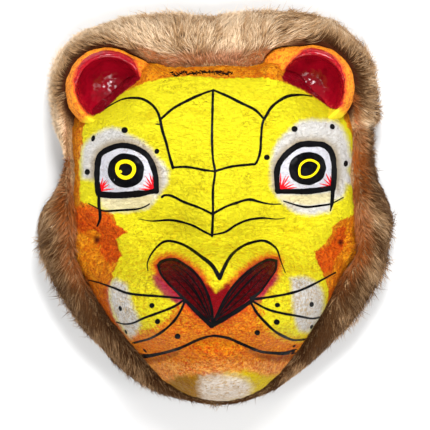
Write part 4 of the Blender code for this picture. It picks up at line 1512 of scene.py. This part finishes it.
def hair_mesh(name, hairs, rng):
    """Tapered three-sided hairs, each closed at its root and bent once on its way to a point."""
    roots, aim, droop, lengths, tone, dye, shaded, widths = hairs
    count = len(roots)
    side = unit(np.cross(aim, rng.normal(size=(count, 3))))
    other = np.cross(aim, side)
    half = (lengths / 2)[:, None]
    bend = roots + aim * half
    verts = np.zeros((count, HAIR_POINTS, 3))
    pattern = [(2, 1, 0)]
    for corner in range(3):
        turn = 2 * math.pi * corner / 3
        ray = side * math.cos(turn) + other * math.sin(turn)
        verts[:, corner] = roots + ray * (widths / 2)[:, None]
        verts[:, 3 + corner] = bend + ray * (widths * BEND_WIDTH)[:, None]
        after = (corner + 1) % 3
        pattern += [(corner, after, 3 + after), (corner, 3 + after, 3 + corner), (3 + corner, 3 + after, 6)]
    verts[:, 6] = bend + unit(aim + droop) * half
    faces = (np.arange(count)[:, None, None] * HAIR_POINTS + np.array(pattern)[None]).reshape(-1, 3)
    mesh = bpy.data.meshes.new(name)
    mesh.from_pydata(verts.reshape(-1, 3), [], faces)
    # Hair beside the ears is darker at its roots: painted shade in the gap between the fur and the cups
    deep = shaded[:, None]
    shades = tone[:, None] - ROOT_DARKER - deep + (TIP_LIGHTER + 0.9 * deep) * np.array(HAIR_ALONG)[None]
    set_attribute(mesh, "tone", np.clip(shades, 0.0, 1.0).reshape(-1))
    set_attribute(mesh, "dye", np.repeat(dye, HAIR_POINTS))
    return mesh


class Roots:
    """Where hairs grow on a strip."""

    def __init__(self, strip, places, normals):
        self.strip, self.places, self.normals = strip, places, normals
        offset = places[:, :2] - np.array(SHELL_CENTRE) * MM
        far = np.linalg.norm(offset, axis=1)
        flat = np.zeros(len(places))
        self.radial = np.stack((offset[:, 0] / far, offset[:, 1] / far, flat), axis=1)
        round_shell = np.stack((-self.radial[:, 1], self.radial[:, 0], flat), axis=1)
        self.down_side = round_shell * (strip.comb or 1.0)
        self.angle = np.degrees(np.arctan2(offset[:, 1], offset[:, 0]))
        at = np.where(self.angle < -90, self.angle + FULL_TURN, self.angle)
        self.reach = smooth_between(strip.stations, "reach", at) * MM
        self.past = far - rim_radius(np.radians(at)) * MM
        self.swirl = noise_field(places, *SWIRL)
        self.fine = noise_field(places, *FINE)

    def along_surface(self, directions):
        return unit(np.cross(np.cross(self.normals, directions), self.normals))


def comb_hair(roots, rng):
    """The direction of each hair, and how it droops past its bend."""
    if roots.strip.comb:
        sideways = 0.95 + 0.5 * roots.swirl + 0.35 * roots.fine
    else:
        lean = (roots.angle - 90.0) / 60.0
        near = np.clip(1.0 - roots.past / (16 * MM), 0.0, 1.0)
        sideways = (0.55 + 2.4 * near) * lean + (1.25 - 0.6 * near) * roots.swirl + 0.5 * roots.fine
    over = roots.along_surface(roots.radial + np.array((0, 0, 0.25)))
    aside = roots.along_surface(roots.down_side)
    jitter = rng.normal(size=roots.places.shape) * 0.16
    aim = unit(over * 0.8 + aside * sideways[:, None] + roots.normals * 0.34 + jitter)
    if roots.strip.comb:
        fringe = (roots.past < FRINGE_WITHIN) & (rng.random(len(aim)) < FRINGE_SHARE)
        inward = aside * 0.8 - roots.radial * 0.45 + np.array((0.0, 0.0, 0.55)) + jitter
        aim = np.where(fringe[:, None], unit(inward), aim)
    waves = rng.normal(size=aim.shape) * 0.12
    return aim, -roots.normals * 0.62 + aside * (0.4 * roots.fine)[:, None] + waves


def hair_looks(fur, roots, rng):
    """Length, lightness and share of dye of each hair."""
    count = len(roots.places)
    x, y = roots.places[:, 0] / MM, roots.places[:, 1] / MM
    lengths = fur.length * np.clip(roots.reach / (22 * MM), 0.42, 1.0) * (0.75 + 0.5 * rng.random(count))
    lengths *= 1.0 - 0.26 * fade(y, 25.0, 60.0) * (1.0 - fade(y, 118.0, 145.0))
    lengths *= 1.0 + 0.6 * fade(-y, 135.0, 155.0)
    if roots.strip.stations is FUR_LEFT:
        lengths *= 1.0 + 0.5 * np.exp(-(((y - 8.0) / 16.0) ** 2))
    patch, wisp = noise_field(roots.places, *PATCH), noise_field(roots.places, *WISP)
    tone = 0.84 + 0.40 * patch + 0.26 * roots.fine + 0.26 * wisp + rng.normal(size=count) * 0.15
    if roots.strip.comb:
        high = fade(y, -80.0, -30.0)
        inner = np.clip(1.0 - roots.past / (9 * MM), 0.0, 1.0)
        # All side hair is darker; near the face low down the 0.30 share darkens it further, painted shade in
        # the gap between fur and face
        tone -= 0.64 + 0.30 * inner * (1.0 - high)
        dye = inner * high * np.clip(0.75 + 0.6 * roots.swirl, 0.0, 1.0)
    else:
        inner = np.clip(1.0 - roots.past / (4 * MM), 0.0, 1.0)
        fuzz = fade(deepest(to_picture(roots.places), FUZZ), -2.0, 1.5)
        lengths *= 1.0 - 0.62 * fuzz
        dye = np.maximum(0.7 * inner, 0.85 * fuzz) * np.clip(0.85 + 0.5 * roots.fine, 0.0, 1.0)
        tone += 0.22 * fade(-x, 55.0, 80.0) - 0.20 * fade(x, 30.0, 70.0) - 0.06 - 0.2 * fuzz
    return lengths, np.clip(tone, 0.0, 1.0), dye


def beside_ears(places):
    """1 right beside an ear, falling to 0 some millimetres away from it."""
    shaded = np.zeros(len(places))
    for ear in EAR_PLACES:
        beside = np.linalg.norm(places[:, :2] / MM - np.array((ear.x, ear.y)), axis=1) - EAR_WIDE
        shaded = np.maximum(shaded, np.exp(-((np.maximum(beside - 1.0, 0.0) / 5.0) ** 2)))
    return shaded


def under_paper(tree, roots):
    """Which hairs have their root under the shell's surface."""
    buried = []
    for root in roots:
        place, normal, _, _ = tree.ray_cast(Vector(root), Vector((0, 0, 1)))
        buried.append(place is not None and normal.z > 0)
    return np.array(buried)


def clear_of_ears(roots, tips, normals):
    """Which hairs neither grow beside an ear cup towards it nor end in it."""
    keep = np.ones(len(roots), bool)
    middles = (roots + tips) / 2
    for ear in EAR_PLACES:
        back = np.array(ear_matrix(ear).inverted())
        for places, clear in ((roots, EAR_WIDE + 0.6), (tips, EAR_WIDE - 1.5), (middles, EAR_WIDE)):
            local = places @ back[:3, :3].T + back[:3, 3]
            radius = np.linalg.norm(local[:, :2], axis=1) / MM
            keep &= ~((radius < clear) & (local[:, 2] > 4 * MM))
        centre = np.array((ear.x, ear.y, 0.0)) * MM
        to_ear = unit(centre - roots * FLAT)
        near = np.linalg.norm(roots[:, :2] / MM - np.array((ear.x, ear.y)), axis=1) < EAR_WIDE + 5.0
        keep &= ~(near & ((normals * to_ear).sum(axis=1) > 0.35) & (roots[:, 2] > 36 * MM))
    for places in (roots, middles, tips):
        keep &= (deepest(to_picture(places), BARE) < 0.0) | (roots[:, 1] < 0.0)
    return keep


def outward_roots(mesh, density, rng):
    """Places for hairs on a backing, without those on its underside or its side towards the shell."""
    area = sum(polygon.area for polygon in mesh.polygons)
    roots, normals, flat = surface_samples(mesh, int(area / MM**2 * density), rng)
    outward = unit((roots - np.array((*SHELL_CENTRE, 0.0)) * MM) * FLAT)
    facing = (flat * outward).sum(axis=1)
    up = flat[:, 2]
    shown = (up > -0.6) & ((facing > -0.45) | (up > 0.5)) & (roots[:, 2] > LEAST_CLEARANCE)
    return roots[shown], normals[shown]


def keep_off_floor(roots, aim, droop, lengths):
    """Turn hairs up that would reach into the floor."""
    drop = np.minimum(aim[:, 2], unit(aim + droop)[:, 2]) * lengths
    low = roots[:, 2] + drop < LEAST_CLEARANCE
    least = (1.0 * MM - roots[low, 2]) / lengths[low]
    aim[low, 2] = np.maximum(aim[low, 2], least * 0.5)
    droop[low, 2] = np.maximum(least * 0.5, 0.0) - aim[low, 2] * 0.2


def add_hairs(name, hairs, thickness, material, rng):
    """The hairs of a strip, in pieces that stay below the limit of triangles."""
    count = len(hairs[0])
    widths = thickness * (0.7 + 0.6 * rng.random(count))
    parts = int(math.ceil(count * HAIR_TRIANGLES / MOST_TRIANGLES))
    for part in range(parts):
        piece = f"{name}_hair_{part + 1}"
        chosen = [values[part::parts] for values in (*hairs, widths)]
        finish_piece(piece, hair_mesh(piece, chosen, rng), material)


class TIGERMASK_OT_fur(bpy.types.Operator):
    """Lay the fur strips and comb their hair"""

    bl_idname = "tigermask.fur"
    bl_label = "Fur"

    def execute(self, context):
        fur = context.scene.tiger_mask_fur
        tree = face_tree()
        under, hair = backing_material(fur), hair_material(fur)
        pockets = [ear_pocket(ear) for ear in EAR_PLACES]
        rng = np.random.default_rng(7)
        for strip in STRIPS:
            backing = strip_backing(tree, strip)
            if strip.stations is FUR_CROWN:
                backing = cut_mesh(backing, strip.name, *pockets)
                bmesh.ops.triangulate(backing, faces=backing.faces)
            mesh = mesh_of(backing, strip.name + "_backing")
            set_attribute(mesh, "shaded", beside_ears(coordinates(mesh.vertices)))
            piece = finish_piece(mesh.name, mesh, under, SHARP_EDGE)
            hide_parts(strip.name)
            places, normals = outward_roots(mesh, fur.density, rng)
            roots = Roots(strip, places, normals)
            aim, droop = comb_hair(roots, rng)
            lengths, tone, dye = hair_looks(fur, roots, rng)
            tips = places + aim * lengths[:, None]
            keep = clear_of_ears(places, tips, normals) & ~under_paper(tree, places)
            keep_off_floor(places, aim, droop, lengths)
            values = (places - normals * ROOT_SINK, aim, droop, lengths, tone, dye)
            hairs = [value[keep] for value in values]
            add_hairs(strip.name, hairs + [beside_ears(hairs[0])], fur.thickness, hair, rng)
        for pocket in pockets:
            pocket.free()
        return {"FINISHED"}


# Lights: the setting for its strength and a factor on it, place, width and height in metres
LIGHTS = table("Light", "name setting factor place size", (
    ("key", "key", 1.0, (0.1, 0.9, 1.2), (0.4, 0.35)),
    ("front", "front", 1.0, (0.1, -1.2, 1.2), (0.9, 0.5)),
    ("fill_left", "fill", 1.0, (-1.15, -0.25, 1.0), (0.7, 0.9)),
    ("fill_right", "fill", 1.3, (1.15, -0.35, 1.0), (0.7, 0.9)),
    ("lamp", "lamp", 1.0, (0.02, -0.40, 1.60), (0.2, 0.2)),
))
LIT_SPOT = Vector((0, 0, 0.05))
FLOOR_HALF = 4.0
FLOOR_BELOW = 0.3 * MM
FARTHEST = 20.0


def add_light(light, power):
    data = bpy.data.lights.new(light.name, "AREA")
    data.shape = "RECTANGLE"
    data.size, data.size_y = light.size
    data.energy = power
    lamp = bpy.data.objects.new(light.name, data)
    lamp.location = light.place
    lamp.rotation_euler = (LIT_SPOT - Vector(light.place)).to_track_quat("-Z", "Y").to_euler()
    bpy.context.scene.collection.objects.link(lamp)


def add_camera(scene):
    data = bpy.data.cameras.new("camera")
    data.sensor_width = SENSOR
    data.lens = SENSOR / (PICTURE_SIZE * UNIT_SPAN)
    data.clip_end = FARTHEST
    camera = bpy.data.objects.new("camera", data)
    camera.location = Vector((CAMERA_X, CAMERA_Y, CAMERA_HEIGHT)) * MM
    scene.collection.objects.link(camera)
    scene.camera = camera


class TIGERMASK_OT_studio(bpy.types.Operator):
    """Set the floor, the soft lights and the camera"""

    bl_idname = "tigermask.studio"
    bl_label = "Studio"

    def execute(self, context):
        studio = context.scene.tiger_mask_studio
        builder = bmesh.new()
        bmesh.ops.create_grid(builder, x_segments=1, y_segments=1, size=FLOOR_HALF)
        bmesh.ops.translate(builder, vec=(0, 0, -FLOOR_BELOW), verts=builder.verts)
        floor = bpy.data.objects.new("floor", mesh_of(builder, "floor"))
        context.scene.collection.objects.link(floor)
        finish = Finish("floor", {"Roughness": 0.9, "Specular IOR Level": 0.0})
        finish.set("Base Color", tuple(studio.floor))
        floor.data.materials.append(finish.material)
        for light in LIGHTS:
            add_light(light, getattr(studio, light.setting) * light.factor)
        world = bpy.data.worlds.new("studio")
        world.use_nodes = True
        background = world.node_tree.nodes["Background"]
        background.inputs["Color"].default_value = (1, 1, 1, 1)
        background.inputs["Strength"].default_value = studio.sky
        context.scene.world = world
        context.scene.view_settings.view_transform = "Standard"
        add_camera(context.scene)
        return {"FINISHED"}


class TIGERMASK_PT_panel(bpy.types.Panel):
    """The mask's pieces, in the order they are made"""

    bl_idname = "TIGERMASK_PT_panel"
    bl_label = "Tiger mask"
    bl_space_type = "VIEW_3D"
    bl_region_type = "UI"
    bl_category = "Tiger mask"

    def draw(self, context):
        for operator in OPERATORS:
            self.layout.operator(operator.bl_idname)
        for attribute, group in GROUPS.items():
            box = self.layout.box()
            settings = getattr(context.scene, attribute)
            for name in group.__annotations__:
                box.prop(settings, name)


GROUPS = {
    "tiger_mask_face": TigerMaskFace,
    "tiger_mask_paint": TigerMaskPaint,
    "tiger_mask_ears": TigerMaskEars,
    "tiger_mask_fur": TigerMaskFur,
    "tiger_mask_studio": TigerMaskStudio,
}
OPERATORS = (
    TIGERMASK_OT_painted_face,
    TIGERMASK_OT_brush_lines,
    TIGERMASK_OT_eyes,
    TIGERMASK_OT_ears,
    TIGERMASK_OT_fur,
    TIGERMASK_OT_studio,
)
CLASSES = (*GROUPS.values(), *OPERATORS, TIGERMASK_PT_panel)


def register():
    for cls in CLASSES:
        bpy.utils.register_class(cls)
    for attribute, group in GROUPS.items():
        setattr(bpy.types.Scene, attribute, PointerProperty(type=group))


def unregister():
    for attribute in GROUPS:
        delattr(bpy.types.Scene, attribute)
    for cls in reversed(CLASSES):
        bpy.utils.unregister_class(cls)


def main():
    register()
    bpy.ops.tigermask.studio()
    bpy.ops.tigermask.painted_face()
    bpy.ops.tigermask.brush_lines()
    bpy.ops.tigermask.eyes()
    bpy.ops.tigermask.ears()
    bpy.ops.tigermask.fur()


if __name__ == "__main__":
    main()
